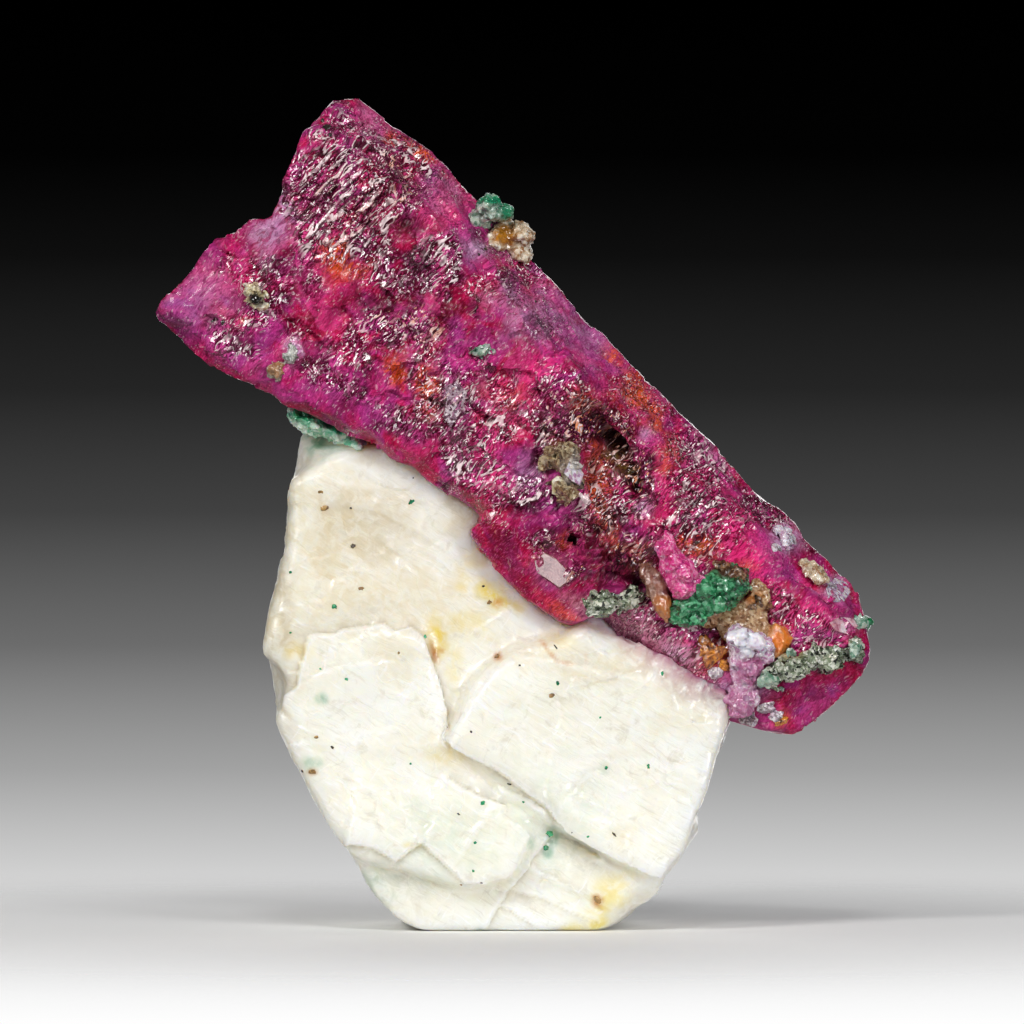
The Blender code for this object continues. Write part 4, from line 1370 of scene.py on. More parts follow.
    def close_up(self, points: np.ndarray, ruby: BVHTree) -> Tuple[np.ndarray, np.ndarray]:
        """Draws points near the ruby up to it.

        Args:
            points: The calcite's points in millimetres.
            ruby: The ruby's surface.

        Returns:
            The points, and the distance of each from the ruby.
        """
        moved, distance = points.copy(), np.full(len(points), FAR)
        for number, point in enumerate(points):
            spot, _, _, gap = ruby.find_nearest(Vector(point * MM), self.search * MM)
            if spot is None:
                continue
            distance[number] = gap / MM
            further = min(max((point[0] - self.narrow_end) / 3, 0), 1) * self.apron
            pull = float(fade(np.array([gap / MM / (self.reach + further)]))[0])
            moved[number] += (np.array(spot) / MM - point) * pull * self.overlap
        return moved, distance

    def build(self, ruby: Skin) -> Skin:
        """Builds the calcite round the finished ruby.

        Args:
            ruby: The ruby's surface, which the calcite is drawn up to.

        Returns:
            The finished calcite's surface.
        """
        skin = Skin("calcite_matrix_broken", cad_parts["calcite_matrix"].data, self.voxel)
        skin.refine(lambda centres, normals: normals[:, 1] < -0.35)
        front = self.facing(skin)
        skin.relax(26, 0.6 * (1 - front))
        skin.relax(3)
        place = skin.points()
        front = self.facing(skin)
        height, foot_shades, rim_highlights = self.relief(place, front)
        skin.raise_by(height * (1 - fade(place[:, 2] / 0.5)))
        # The steps' painted shade and painted highlight, which the material reads.
        skin.mark("foot", foot_shades)
        skin.mark("rim", rim_highlights)
        moved, distance = self.close_up(skin.points(), ruby.tree())
        moved[:, 2] = np.maximum(moved[:, 2], 0)
        skin.place(moved)
        flat = place[:, (0, 2)]
        for number, (name, stains) in enumerate(self.stains):
            ragged = cloud(place, 0.9, 61 + number, 4)
            skin.mark(name, patched(stains, flat, ragged) * fade((place[:, 1] + 4 + 1.5 * ragged) / 6))
        lower_right = np.clip((flat[:, 0] - self.narrow_end) / 3.0, 0.1, 1)
        skin.mark("ruby", fade(distance / (0.5 + 1.6 * lower_right)) * lower_right * (place[:, 1] < 2))
        skin.shade(38)
        settle(skin.object, CalciteFinish().make(), "calcite", "calcite_matrix")
        return skin


# The small minerals


# Sides of a flake of mica
SIDES = 6


def seen_from_front(surface: BVHTree, across: float, up: float) -> Tuple[Optional[Vector], Optional[Vector]]:
    """The first place that is seen from the front at a point of the view.

    Args:
        surface: What is looked at.
        across: The point's place across, in millimetres.
        up: The point's place up.

    Returns:
        The place in metres and the surface's normal there, or nothing twice.
    """
    return surface.ray_cast(Vector((across, IN_FRONT, up)) * MM, Vector((0, 1, 0)))[:2]


class Habit(Enum):
    """How a small mineral grows."""

    GLASSY = "rounded glassy lobes"
    CRUST = "rough lumps"
    MICA = "books and flakes of mica"


@dataclass
class MineralGrain:
    """A small mineral that stands for one solid, or for several of one kind.

    Attributes:
        node: The solid's name.
        slot: The record's slot for its finish.
        habit: How it grows.
        flakes: Number of flakes set on it.
        flake: Size of a flake in millimetres.
        finish: The finish's name, when it isn't the slot's.
        stains: Where it is stained.
        voxel: Size of its even mesh's faces.
    """

    node: str
    slot: str
    habit: Habit
    flakes: int = 0
    flake: float = 0.5
    finish: str = ""
    stains: Tuple[Patch, ...] = ()
    voxel: float = 0.07

    def shape(self, skin: Skin) -> None:
        """Gives the even mesh its relief.

        Args:
            skin: The grain's even mesh.
        """
        skin.relax(4 if self.habit is Habit.GLASSY else 2)
        place = skin.points()
        if self.habit is Habit.GLASSY:
            height = 0.1 * cloud(place, 0.7, 71) + facets(place, (0.7, 0.7, 0.7), 0.08, 0.03, 72)
        elif self.habit is Habit.CRUST:
            height = 0.12 * cloud(place, 0.35, 73, 4) + facets(place, (0.35, 0.35, 0.35), 0.05, 0.05, 74)
        else:
            height = facets(place, (0.7, 0.5, 0.25), 0.12, 0.12, 75) + 0.05 * cloud(place, 0.3, 76)
        skin.raise_by(height)

    def flake_mesh(self, skin: Skin) -> bpy.types.Mesh:
        """Six-sided flakes set all over the grain's outer surface.

        Args:
            skin: The grain's shaped surface.

        Returns:
            One mesh with every flake.
        """
        numbers = np.random.default_rng(len(self.node) * 101 + self.flakes)
        points, normals = skin.points(), skin.normals()
        corners, faces = [], []
        for _ in range(self.flakes):
            number = numbers.integers(len(points))
            out = Vector(normals[number] + numbers.normal(0, 0.35, 3)).normalized()
            spin = Matrix.Rotation(numbers.uniform(0, math.pi), 3, out)
            side = (spin @ out.orthogonal()).normalized()
            other = out.cross(side)
            wide = self.flake * numbers.uniform(0.35, 1.0) / 2
            long = wide * numbers.uniform(1.0, 1.7)
            thick = self.flake * numbers.uniform(0.05, 0.16)
            centre = Vector(points[number]) - out * thick * 0.6
            start = len(corners)
            for level, size in ((-thick, 0.9), (thick, 1.0)):
                for corner in range(SIDES):
                    turn = math.tau / SIDES * corner
                    way = side * math.cos(turn) * long * size + other * math.sin(turn) * wide * size
                    corners.append(centre + way + out * level)
            lower = [start + corner for corner in range(SIDES)]
            upper = [corner + SIDES for corner in lower]
            faces += [lower[::-1], upper]
            for corner in range(SIDES):
                after = (corner + 1) % SIDES
                faces.append([lower[corner], lower[after], upper[after], upper[corner]])
        mesh = bpy.data.meshes.new(f"{self.node}_flakes")
        mesh.from_pydata([corner * MM for corner in corners], [], faces)
        return mesh

    def build(self, finish: bpy.types.Material) -> Skin:
        """Builds the grain.

        Args:
            finish: Its material.

        Returns:
            The grain.
        """
        skin = Skin(f"{self.node}_grown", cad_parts[self.node].data, self.voxel)
        self.shape(skin)
        if self.flakes:
            both = bmesh.new()
            for mesh in (skin.mesh, self.flake_mesh(skin)):
                both.from_mesh(mesh)
            both.to_mesh(skin.mesh)
            both.free()
        place = skin.points()
        skin.mark("stain", patched(self.stains, place[:, (0, 2)], cloud(place, 0.5, 79)))
        skin.shade(35)
        settle(skin.object, finish, self.slot, self.node)
        return skin


@dataclass
class Specks:
    """Tiny grains set in a surface.

    Attributes:
        name: The piece's name.
        slot: The record's slot for their finish.
        finish: Their finish's name.
        holder: The piece they lie in.
        spots: Place across, place up, length, width and turn of each.
        detail: How finely each is divided.
    """

    name: str
    slot: str
    finish: str
    holder: str
    spots: Tuple[Tuple[float, float, float, float, float], ...]
    detail: int = 2

    def build(self, surface: BVHTree, finish: bpy.types.Material) -> None:
        """Sets the specks in a surface, as one piece.

        Args:
            surface: What they lie in.
            finish: Their material.
        """
        both = bmesh.new()
        for number, (across, up, length, width, turn) in enumerate(self.spots):
            spot, normal = seen_from_front(surface, across, up)
            if spot is None:
                continue
            made = bmesh.ops.create_icosphere(both, subdivisions=self.detail, radius=0.5 * MM)["verts"]
            uneven = cloud(np.array([v.co for v in made]) / MM * 2.2 + number * 7, 0.7, 81)
            for vertex, bulge in zip(made, uneven):
                vertex.co *= 1 + 0.45 * bulge
            bmesh.ops.scale(both, vec=(length, width, min(length, width) * 0.7), verts=made)
            basis = normal.to_track_quat("Z", "Y").to_matrix() @ Matrix.Rotation(math.radians(turn), 3, "Z")
            bmesh.ops.rotate(both, matrix=basis, verts=made)
            bmesh.ops.translate(both, vec=spot, verts=made)
        mesh = finished(self.name, both)
        mesh.shade_smooth()
        mesh.set_sharp_from_angle(angle=math.radians(40))
        settle(add_object(self.name, mesh), finish, self.slot)


@dataclass
class Plate:
    """A thin flat flake that lies on the ruby.

    Attributes:
        name: The piece's name.
        slot: The record's slot for its finish.
        finish: The finish's name.
        outline: Its corners, across and up.
        thick: How far it stands out.
        lift: How much further it is held out by what lies under it.
        sunk: How far its back lies under the surface.
        bevel: Size of its front as a share of its back.
    """

    name: str
    slot: str
    finish: str
    outline: Tuple[Tuple[float, float], ...]
    thick: float = 0.1
    lift: float = 0.0
    sunk: float = 0.35
    bevel: float = 0.93

    def build(self, surface: BVHTree, finish: bpy.types.Material) -> None:
        """Lays the plate on a surface.

        Args:
            surface: What it lies on.
            finish: Its material.
        """
        corners = np.array(self.outline)
        middle = corners.mean(axis=0)
        inside = np.concatenate([corners, (corners + middle) / 2, [middle]])
        hits = [seen_from_front(surface, x, z)[0] for x, z in inside]
        found = np.array([tuple(hit / MM) for hit in hits if hit is not None])
        sides = np.column_stack([found[:, (0, 2)], np.ones(len(found))])
        slope = np.linalg.lstsq(sides, found[:, 1], rcond=None)[0]
        both = bmesh.new()
        rings = []
        for depth, size in (
            (self.sunk, 1.0), (-self.lift - 0.3 * self.thick, 1.0), (-self.thick - self.lift, self.bevel)
        ):
            rings.append([
                both.verts.new(Vector((x, slope @ (x, z, 1) + depth, z)) * MM)
                for x, z in middle + (corners - middle) * size
            ])
        both.faces.new(rings[0])
        both.faces.new(rings[-1][::-1])
        for lower, upper in zip(rings[:-1], rings[1:]):
            for number in range(len(corners)):
                after = (number + 1) % len(corners)
                both.faces.new((lower[number], upper[number], upper[after], lower[after]))
        bmesh.ops.recalc_face_normals(both, faces=both.faces[:])
        settle(add_object(self.name, finished(self.name, both)), finish, self.slot)


class SmallMinerals:
    """Every small mineral on the ruby and the calcite."""

    def finishes(self) -> Dict[str, bpy.types.Material]:
        """The small minerals' materials, by name.

        Returns:
            Each material under its finish's name.
        """
        kinds = (
            GrainFinish(
                "rose", (0.74, 0.05, 0.28), (0.96, 0.42, 0.62), (0.46, 0.01, 0.13), roughness=0.12, depth=0.6,
                speckle=0.13, contrast=0.6,
            ),
            GrainFinish(
                "rose_pale", (0.8, 0.42, 0.5), (0.95, 0.74, 0.78), (0.5, 0.12, 0.22), roughness=0.2,
                depth=0.5, contrast=0.4,
            ),
            GrainFinish(
                "rose_brown", (0.3, 0.11, 0.12), (0.44, 0.24, 0.23), (0.16, 0.03, 0.05), roughness=0.6,
                depth=0.5, contrast=0.4, speckle=0.14,
            ),
            GrainFinish(
                "silver", (0.34, 0.2, 0.27), (0.74, 0.62, 0.66), (0.1, 0.03, 0.06), roughness=0.12,
                contrast=1.0, speckle=0.12,
            ),
            GrainFinish(
                "green", (0.012, 0.2, 0.07), (0.14, 0.5, 0.26), (0.003, 0.035, 0.014), (0.05, 0.02, 0.008),
                speckle=0.2,
            ),
            GrainFinish(
                "seam", (0.56, 0.78, 0.62), (0.92, 0.97, 0.88), (0.14, 0.5, 0.3), (0.02, 0.36, 0.16),
                depth=0.8,
            ),
            GrainFinish(
                "mint", (0.3, 0.42, 0.34), (0.66, 0.74, 0.64), (0.06, 0.2, 0.12), (0.01, 0.24, 0.11),
                depth=0.6,
            ),
            GrainFinish(
                "amber", (0.42, 0.23, 0.11), (0.72, 0.54, 0.34), (0.18, 0.07, 0.02), (0.78, 0.22, 0.006),
                roughness=0.12, depth=0.7, contrast=0.7, speckle=0.12,
            ),
            GrainFinish(
                "rusty", (0.4, 0.12, 0.015), (0.8, 0.32, 0.04), (0.08, 0.015, 0.004), roughness=0.15,
                depth=0.6, speckle=0.14,
            ),
            GrainFinish(
                "frost", (0.56, 0.44, 0.52), (0.88, 0.84, 0.86), (0.2, 0.16, 0.18), roughness=0.3, depth=0.4,
                speckle=0.12, contrast=0.9,
            ),
            GrainFinish(
                "snow", (0.84, 0.78, 0.86), (0.97, 0.96, 0.98), (0.66, 0.52, 0.66), roughness=0.2, depth=0.8,
                contrast=0.3,
            ),
            GrainFinish("umber", (0.12, 0.05, 0.02), (0.34, 0.18, 0.08), (0.02, 0.008, 0.004), speckle=0.14),
            GrainFinish(
                "lilac", (0.72, 0.56, 0.68), (0.96, 0.93, 0.95), (0.46, 0.2, 0.36), (0.44, 0.13, 0.28),
                depth=0.6, contrast=0.9, speckle=0.14,
            ),
            GrainFinish(
                "olive", (0.2, 0.25, 0.15), (0.72, 0.72, 0.6), (0.006, 0.01, 0.006), (0.5, 0.2, 0.02),
                speckle=0.17, contrast=1.0,
            ),
            GrainFinish(
                "grey", (0.34, 0.36, 0.32), (0.66, 0.66, 0.62), (0.1, 0.12, 0.09), (0.36, 0.18, 0.08),
            ),
            GrainFinish(
                "white", (0.7, 0.6, 0.68), (0.95, 0.92, 0.95), (0.42, 0.16, 0.34), roughness=0.35, depth=0.5,
            ),
            GrainFinish(
                "buff", (0.66, 0.52, 0.36), (0.9, 0.84, 0.72), (0.34, 0.16, 0.06), (0.5, 0.2, 0.01),
                speckle=0.2,
            ),
            GrainFinish(
                "tan", (0.2, 0.11, 0.05), (0.56, 0.44, 0.26), (0.02, 0.008, 0.005), (0.88, 0.84, 0.8),
                speckle=0.16,
            ),
            GrainFinish(
                "cream", (0.72, 0.6, 0.34), (0.92, 0.88, 0.74), (0.1, 0.05, 0.02), (0.01, 0.008, 0.006),
                speckle=0.2,
            ),
            GrainFinish("speck", (0.01, 0.3, 0.12), (0.05, 0.45, 0.2), (0.004, 0.12, 0.05), depth=0.1),
            GrainFinish("black", (0.03, 0.02, 0.014), (0.06, 0.04, 0.03), (0.006, 0.004, 0.003), depth=0.0),
            GrainFinish("ochre", (0.3, 0.16, 0.04), (0.5, 0.3, 0.08), (0.12, 0.06, 0.02), roughness=0.4),
            GrainFinish(
                "brown", (0.34, 0.14, 0.09), (0.56, 0.34, 0.26), (0.14, 0.02, 0.015), (0.62, 0.22, 0.06),
                roughness=0.12, depth=0.6, contrast=0.3, clear=0.3,
            ),
        )
        return {kind.name: kind.make() for kind in kinds}

    def grains(self) -> Tuple[MineralGrain, ...]:
        """The small minerals that stand for solids.

        Returns:
            The grains in the order in which they are built.
        """
        glassy, crust, mica = Habit
        return (
            MineralGrain("rose_crystal", "rose", glassy, 6, 0.4),
            MineralGrain("green_mica", "green", glassy, 60, 0.5, stains=patches(
                (10.5, 18.1, 1.1, 0.45, 1, -20)
            )),
            MineralGrain("amber_calcite", "amber", glassy, stains=patches(
                (13.4, 14.6, 0.5, 0.75), (11.9, 16.6, 0.6, 0.3, 0.4), (10, 13.8, 0.7, 0.8)
            )),
            MineralGrain("lilac_calcite", "lilac", crust, 24, 0.5, stains=patches(
                (11.9, 13, 1, 0.7, 0.8), (11.2, 11.2, 1.8, 1.2, 0.6)
            )),
            MineralGrain("olive_mica", "olive", mica, 260, 0.45, stains=patches(
                (13.9, 14.1, 0.6, 0.4, 0.7)
            )),
            MineralGrain("green_knob", "green", crust, 12, 0.4, "mint", patches(
                (-1.1, 36.5, 0.9, 0.25), (-0.2, 35.9, 0.25, 0.6, 0.8)
            )),
            MineralGrain("pale_knob", "buff", crust, 10, 0.4, stains=patches(
                (-0.3, 34.7, 0.5, 0.45, 1, 20)
            )),
            MineralGrain("tan_mica", "tan", mica, 40, 0.9, stains=patches((3.1, 23, 0.45, 0.6, 0.6, -30))),
            MineralGrain("grey_mica", "olive", mica, 80, 0.55),
            MineralGrain("brown_shard", "brown", glassy, stains=patches((7.6, 16.1, 0.5, 0.6))),
            MineralGrain("buff_grain", "buff", crust),
            MineralGrain("white_crust", "white", crust, 20, 0.4),
            MineralGrain("green_bead", "green", glassy),
            MineralGrain("left_mica", "tan", mica, 26, 0.4, "cream", patches((-12.6, 31.4, 0.35, 0.3))),
            MineralGrain("grey_crust", "olive", crust, 16, 0.3, "grey", patches((-11.7, 27.9, 0.5, 0.4))),
            MineralGrain("green_flake", "green", mica, 14, 0.4, "mint"),
            MineralGrain("green_seam", "green", crust, 20, 0.4, "seam", patches(
                (-10.4, 25.8, 0.7, 0.45, 1, -20), (-8.9, 25.2, 1, 0.3, 1, -25)
            )),
        )

    def plates(self) -> Tuple[Plate, ...]:
        """The flat flakes on the ruby.

        Returns:
            The flakes in the order in which they are laid.
        """
        return (
            Plate("white_flake", "tan", "white", (
                (2.7, 23.4), (3.1, 23.7), (3.3, 23.2), (3.6, 22.8), (3.4, 22.2), (3, 22.4), (2.6, 22.8),
            ), 0.16, 0.5),
            Plate("yellow_plate", "tan", "cream", (
                (2, 22.5), (2.3, 22.7), (2.8, 22.5), (2.8, 22), (2.5, 21.6), (2, 21.8),
            ), 0.1, 0.35),
            Plate("lilac_plate", "rose", "lilac", (
                (15.7, 17.1), (16.2, 17.6), (16.8, 17.4), (17, 16.9), (16.6, 16.4), (16.1, 16.4),
                (15.8, 16.6),
            ), 0.08),
            Plate("pink_chip", "rose", "rose_pale", (
                (15.8, 15.4), (16.3, 15.7), (17.1, 15.6), (17.3, 15.2), (16.7, 14.8), (16.1, 15),
            ), 0.22),
            Plate("brown_chip", "rose", "rose_brown", (
                (1.1, 18.5), (1.6, 18.9), (2.2, 18.6), (2.7, 18.1), (2.8, 17.4), (2.4, 17.1), (1.7, 17.6),
                (1.2, 17.9),
            ), 0.1),
            Plate("silver_plate", "ruby", "silver", (
                (-3.3, 27.1), (-2.7, 27.4), (-2.2, 26.8), (-2.5, 25.8), (-3, 25.1), (-3.4, 25.6),
                (-3.2, 26.4),
            ), 0.1),
        )

    def specks(self) -> Tuple[Specks, ...]:
        """The small grains set in the calcite, then those on the ruby and on its grains.

        Returns:
            Every set of specks, each built as one piece.
        """
        return (
            Specks("green_specks", "green", "speck", "calcite", (
                (-5, 21.4, 0.33, 0.24, 20), (-8.8, 16.2, 0.25, 0.24, 0), (-11, 17.9, 0.16, 0.15, 0),
                (-11, 14.9, 0.12, 0.11, 0), (-8.2, 12.6, 0.16, 0.15, 0), (2.3, 12.4, 0.2, 0.24, 0),
                (7.5, 12.9, 0.16, 0.24, 0), (-1.4, 6.5, 0.25, 0.2, 30), (-1.8, 4.5, 0.16, 0.11, 0),
                (6.8, 8.3, 0.16, 0.15, 0), (3.8, 4.8, 0.16, 0.11, 0), (-1.4, -0.1, 0.25, 0.2, 40),
                (-4.3, 14.7, 0.16, 0.2, 0), (4.4, 10.7, 0.12, 0.11, 0), (1.9, 4.9, 0.33, 0.39, 60),
                (1.7, 4.2, 0.29, 0.24, 0), (4.7, 8.2, 0.16, 0.2, 0), (-5, 8.4, 0.12, 0.11, 0),
                (-9.5, 13.1, 0.12, 0.11, 0), (0.6, 6.5, 0.12, 0.11, 0), (6.8, 8.2, 0.12, 0.11, 0),
                (-1.9, 3.1, 0.12, 0.15, 0),
            )),
            Specks("black_specks", "brown", "black", "calcite", (
                (-7.9, 19.2, 0.25, 0.24, 0), (-8, 21.1, 0.12, 0.11, 0), (-1.4, 17.2, 0.16, 0.11, 0),
                (0.4, 13.3, 0.12, 0.11, 0), (2.2, 14.2, 0.29, 0.08, -50), (-2, 10, 0.16, 0.11, -40),
                (-0.1, 7.4, 0.25, 0.11, -20), (-2.6, 5.9, 0.2, 0.08, -35), (5.1, 4.9, 0.29, 0.08, -50),
                (-1.5, 2.5, 0.2, 0.08, -20), (3, 5, 0.08, 0.08, 0), (-8.9, 9.2, 0.25, 0.11, -50),
                (-10.4, 8, 0.16, 0.15, 0), (-4.9, 22.6, 0.08, 0.08, 0), (-3.2, 10.2, 0.08, 0.08, 0),
            )),
            Specks("ochre_specks", "tan", "ochre", "calcite", (
                (-1.1, 16.4, 0.25, 0.24, 0), (-9.5, 21.9, 0.25, 0.15, 0), (-9.3, 21.1, 0.45, 0.28, 10),
                (-7.5, 17.1, 0.29, 0.2, 0), (-9.9, 8, 0.37, 0.24, 10), (4.3, 1.6, 0.33, 0.47, 30),
                (-0.7, 13.7, 0.29, 0.24, 40), (-2.5, 2.4, 0.16, 0.15, 0), (-5.6, 13.9, 0.12, 0.11, 0),
                (-9.7, 9.7, 0.25, 0.15, 0), (2, 11.8, 0.33, 0.24, 0),
            )),
            Specks("black_grains", "brown", "black", "ruby", (
                (-9.2, 40, 0.35, 0.65, -20), (-9.4, 40.4, 0.2, 0.25, 0), (-9, 39.6, 0.2, 0.2, 0),
                (9.2, 19.4, 0.2, 0.2, 0), (-1.3, 34, 0.25, 0.2, 0), (-1.6, 33.7, 0.15, 0.15, 0),
                (1.2, 31.4, 0.15, 0.15, 0), (-14.8, 30.4, 0.2, 0.2, 0), (-14.3, 30.3, 0.2, 0.2, 0),
            )),
            Specks("pink_chips", "rose", "rose", "ruby", (
                (15.9, 16.5, 0.6, 0.45, 20), (16.7, 17.1, 0.5, 0.4, 0), (7.4, 19.2, 0.7, 0.5, 40),
            ), 3),
            Specks("frost_lumps", "lilac", "frost", "ruby", (
                (13.7, 19.7, 1.1, 0.7, -40), (13.2, 19.1, 0.6, 0.45, 0), (10, 12, 1.1, 0.9, 0),
                (10.7, 11.1, 1.3, 1, 20), (11.8, 10.7, 1.3, 0.8, -10), (10.2, 12.9, 0.8, 0.6, 30),
                (12.7, 11.2, 0.9, 0.7, 0), (9.7, 11.1, 0.7, 0.7, 0), (11.3, 10.3, 1.2, 0.5, -20),
                (13.2, 10.7, 0.7, 0.6, 0), (8.9, 12, 0.6, 0.7, 0), (16, 17.2, 0.6, 0.4, 20),
            ), 3),
            Specks("white_knobs", "lilac", "snow", "lilac_calcite", (
                (11.2, 14.7, 1, 1.05, 0), (12.1, 14.4, 1.2, 0.95, -10), (11.7, 13.9, 0.8, 0.6, 0),
            ), 3),
            Specks("amber_lumps", "amber", "amber", "ruby", (
                (10.9, 15.2, 2, 1.4, -20), (10.2, 15.6, 1.2, 1, 0), (12, 15.9, 1.2, 1, 10),
                (12.8, 14.9, 0.9, 0.9, 0),
            ), 3),
            Specks("rusty_lumps", "amber", "rusty", "ruby", (
                (10, 13.8, 1.2, 1.3, 20), (9.6, 14.4, 0.7, 0.7, 0), (13.7, 14.2, 0.45, 0.65, 0),
                (13.4, 10.5, 0.7, 0.45, 20), (10.6, 13.3, 0.6, 0.6, 0),
            ), 3),
            Specks("green_lumps", "green", "mint", "ruby", (
                (17.4, 15.3, 0.7, 1, 0), (12.8, 12.6, 0.8, 0.75, 0), (17, 13.9, 0.75, 1, 0),
                (13.5, 12.1, 0.5, 0.4, 0), (9.7, 11.5, 0.3, 0.5, 0),
            ), 3),
            Specks("green_beads", "green", "mint", "olive_mica", (
                (12.7, 12.6, 1, 0.95, 0), (13.9, 13.9, 0.6, 0.45, 0), (17.1, 14, 0.7, 0.8, 0),
            ), 3),
            Specks("dark_caps", "brown", "umber", "green_mica", (
                (10.5, 18.2, 1.1, 0.6, -15), (11.3, 17.8, 0.8, 0.7, -30), (10, 18.4, 0.6, 0.4, 0),
            ), 3),
            Specks("rose_lobes", "rose", "rose", "rose_crystal", (
                (7.7, 19, 0.75, 1, -20), (8.1, 18.4, 0.8, 0.8, 0), (8.7, 17.9, 1.2, 1.2, 0),
                (8.5, 17.1, 1, 0.8, 0), (9.1, 17.3, 0.6, 0.7, 0),
            ), 3),
            Specks("green_lobes", "green", "green", "green_mica", (
                (8.8, 16.2, 1.3, 1.2, 0), (9.6, 17, 1.2, 1.1, 0), (10.4, 17.1, 0.9, 0.8, 0),
                (9.2, 15.6, 0.9, 0.7, 0), (10.2, 16.4, 0.9, 0.8, 0), (8.6, 15.4, 0.7, 0.6, 0),
            ), 3),
            Specks("brown_crusts", "brown", "umber", "amber_calcite", (
                (11.7, 16.8, 0.8, 0.45, -20), (12.3, 16.5, 0.7, 0.4, -35), (12.8, 16.2, 0.6, 0.4, -35),
                (13.2, 15.8, 0.5, 0.35, -40), (12, 16.2, 0.4, 0.3, 0),
            ), 3),
        )

    def build(self, ruby: Skin, calcite: Skin) -> None:
        """Builds them all.

        Args:
            ruby: The finished ruby.
            calcite: The finished calcite.
        """
        finish = self.finishes()
        holders = {"ruby": ruby, "calcite": calcite}
        for grain in self.grains():
            holders[grain.node] = grain.build(finish[grain.finish or grain.slot])
        for plate in self.plates():
            plate.build(ruby.tree(), finish[plate.finish])
        for specks in self.specks():
            specks.build(holders[specks.holder].tree(), finish[specks.finish])


# The studio


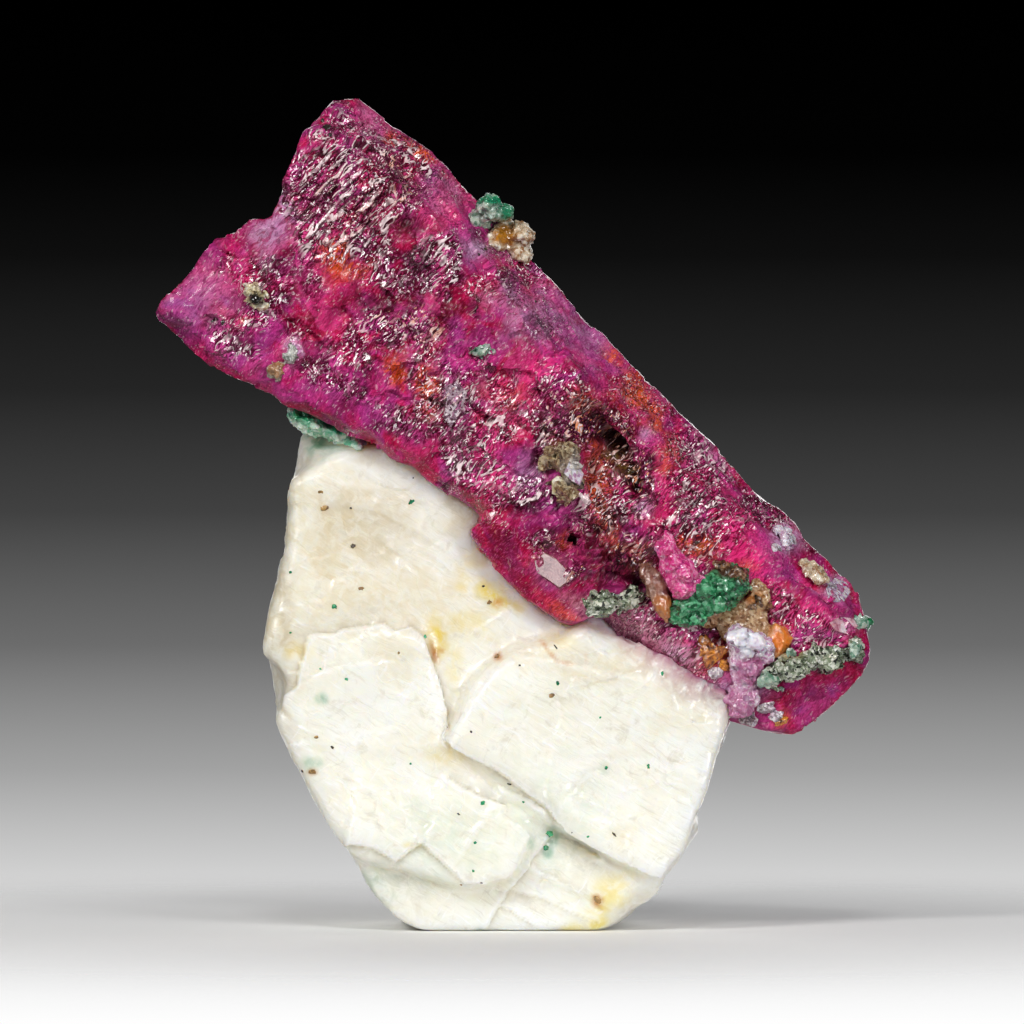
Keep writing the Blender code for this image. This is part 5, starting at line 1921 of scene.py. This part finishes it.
@dataclass
class Studio:
    """The floor, the backdrop, the lights and the camera.

    Attributes:
        distance: From the camera to the displayed face, in millimetres.
        view_width: Width of the view at that distance.
        centre: Where the camera looks.
        power: Brightness of all the lights.
        aim: What the lights face.
        floor_radius: Radius of the floor.
        floor_fade: Distances from the specimen over which the floor fades out.
        sensor: Width of the camera's sensor.
        greys: The backdrop's greys from the bottom of the view to its top. The first two are its ends.
        ambient: Colour of the light that the backdrop gives.
        ambient_power: Brightness of that light.
    """

    distance: float = 400.0
    view_width: float = 51.2
    centre: Triple = (0.025, -4.0, 20.9)
    power: float = 0.23
    aim: Triple = (0.0, 0.0, 22.0)
    floor_radius: float = 80.0
    floor_fade: Tuple[float, float] = (3.0, 68.0)
    sensor: float = 36.0
    greys: Tuple[Tuple[float, float], ...] = (
        (0.0, 1.0), (1.0, 0.0), (0.12, 0.71), (0.25, 0.36), (0.37, 0.15), (0.5, 0.053), (0.62, 0.018),
        (0.75, 0.0044), (0.85, 0.0006),
    )
    ambient: Colour = (0.9, 0.93, 1.0)
    ambient_power: float = 0.045

    def floor(self) -> None:
        """A pale round floor that fades into the backdrop."""
        disc = bmesh.new()
        bmesh.ops.create_circle(disc, cap_ends=True, radius=self.floor_radius * MM, segments=128)
        floor = add_object("floor", finished("floor", disc))
        graph = Graph("floor")
        reach = graph.add("VectorMath", {0: graph.place()}, operation="LENGTH").outputs["Value"]
        kept = graph.range(reach, *self.floor_fade, 1, 0)
        graph.set(Base_Color=(0.94, 0.94, 0.94), Roughness=0.7, Alpha=kept)
        floor.data.materials.append(graph.material)

    def backdrop(self) -> None:
        """A plain backdrop, white below and dark above, that lights the specimen evenly."""
        world = bpy.data.worlds.new("backdrop")
        bpy.context.scene.world = world
        world.use_nodes = True
        tree = Tree(world.node_tree)
        tree.nodes.clear()
        way = tree.add("TexCoord").outputs["Generated"]
        height = tree.add("SeparateXYZ", {0: way}).outputs["Z"]
        half = self.view_width / self.distance / 2
        share = tree.add("MapRange", {0: height, 1: -half, 2: half}).outputs[0]
        ramp = tree.add("ValToRGB", {0: share})
        stops = ramp.color_ramp.elements
        for number, (spot, grey) in enumerate(self.greys):
            stop = stops[number] if number < 2 else stops.new(spot)
            stop.position, stop.color = spot, (grey, grey, grey, 1.0)
        seen = tree.add("Background", {0: ramp.outputs[0]}).outputs[0]
        lit = tree.add("Background", {0: self.ambient, 1: self.ambient_power}).outputs[0]
        camera_ray = tree.add("LightPath").outputs["Is Camera Ray"]
        both = tree.add("MixShader", {0: camera_ray, 1: lit, 2: seen}).outputs[0]
        tree.add("OutputWorld", {0: both})

    def light(self, name: str, spot: Sequence[float], size: float, watts: float, colour: Colour) -> None:
        """Adds a soft square light that faces the specimen.

        Args:
            name: Its name.
            spot: Its place in millimetres.
            size: Its side in millimetres.
            watts: Its power.
            colour: Its colour.
        """
        data = bpy.data.lights.new(name, "AREA")
        data.size, data.energy, data.color = size * MM, watts * self.power, colour
        lamp = add_object(name, data)
        lamp.location = Vector(spot) * MM
        lamp.rotation_euler = (Vector(self.aim) - Vector(spot)).to_track_quat("-Z", "Y").to_euler()

    def lights(self) -> None:
        """Soft lights from both sides and above, and small ones for the glints."""
        for name, spot, size, watts, colour in (
            ("key", (-190, -290, 210), 85, 3.4, (1.0, 0.985, 0.96)),
            ("fill", (240, -280, 60), 75, 2.15, (0.99, 0.99, 1.0)),
            ("top", (0, -300, 300), 55, 1.1, WHITE),
            ("back", (40, 400, 50), 260, 2.2, WHITE),
            ("glint_left", (-260, -160, -10), 40, 0.5, WHITE),
            ("glint_right", (130, -320, 190), 30, 0.7, WHITE),
        ):
            self.light(name, spot, size, watts, colour)

    def camera(self) -> None:
        """A level camera with a long lens, square to the displayed face."""
        data = bpy.data.cameras.new("camera")
        data.sensor_width = self.sensor
        data.lens = self.sensor * self.distance / self.view_width
        data.clip_start, data.clip_end = 0.01, 10.0
        camera = add_object("camera", data)
        camera.location = (Vector(self.centre) - Vector((0, self.distance, 0))) * MM
        camera.rotation_euler = (math.pi / 2, 0, 0)
        bpy.context.scene.camera = camera

    def build(self) -> None:
        """Builds the studio."""
        self.floor()
        self.backdrop()
        self.lights()
        self.camera()
        bpy.context.scene.view_settings.view_transform = "Standard"


def main() -> None:
    """Builds the specimen's pieces in order, then the studio."""
    logging.basicConfig(level=logging.INFO, format="%(name)s: %(message)s")
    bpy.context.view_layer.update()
    ruby = RubyCrystal().build()
    calcite = CalciteMatrix().build(ruby)
    SmallMinerals().build(ruby, calcite)
    Studio().build()
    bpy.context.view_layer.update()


if __name__ == "__main__":
    main()
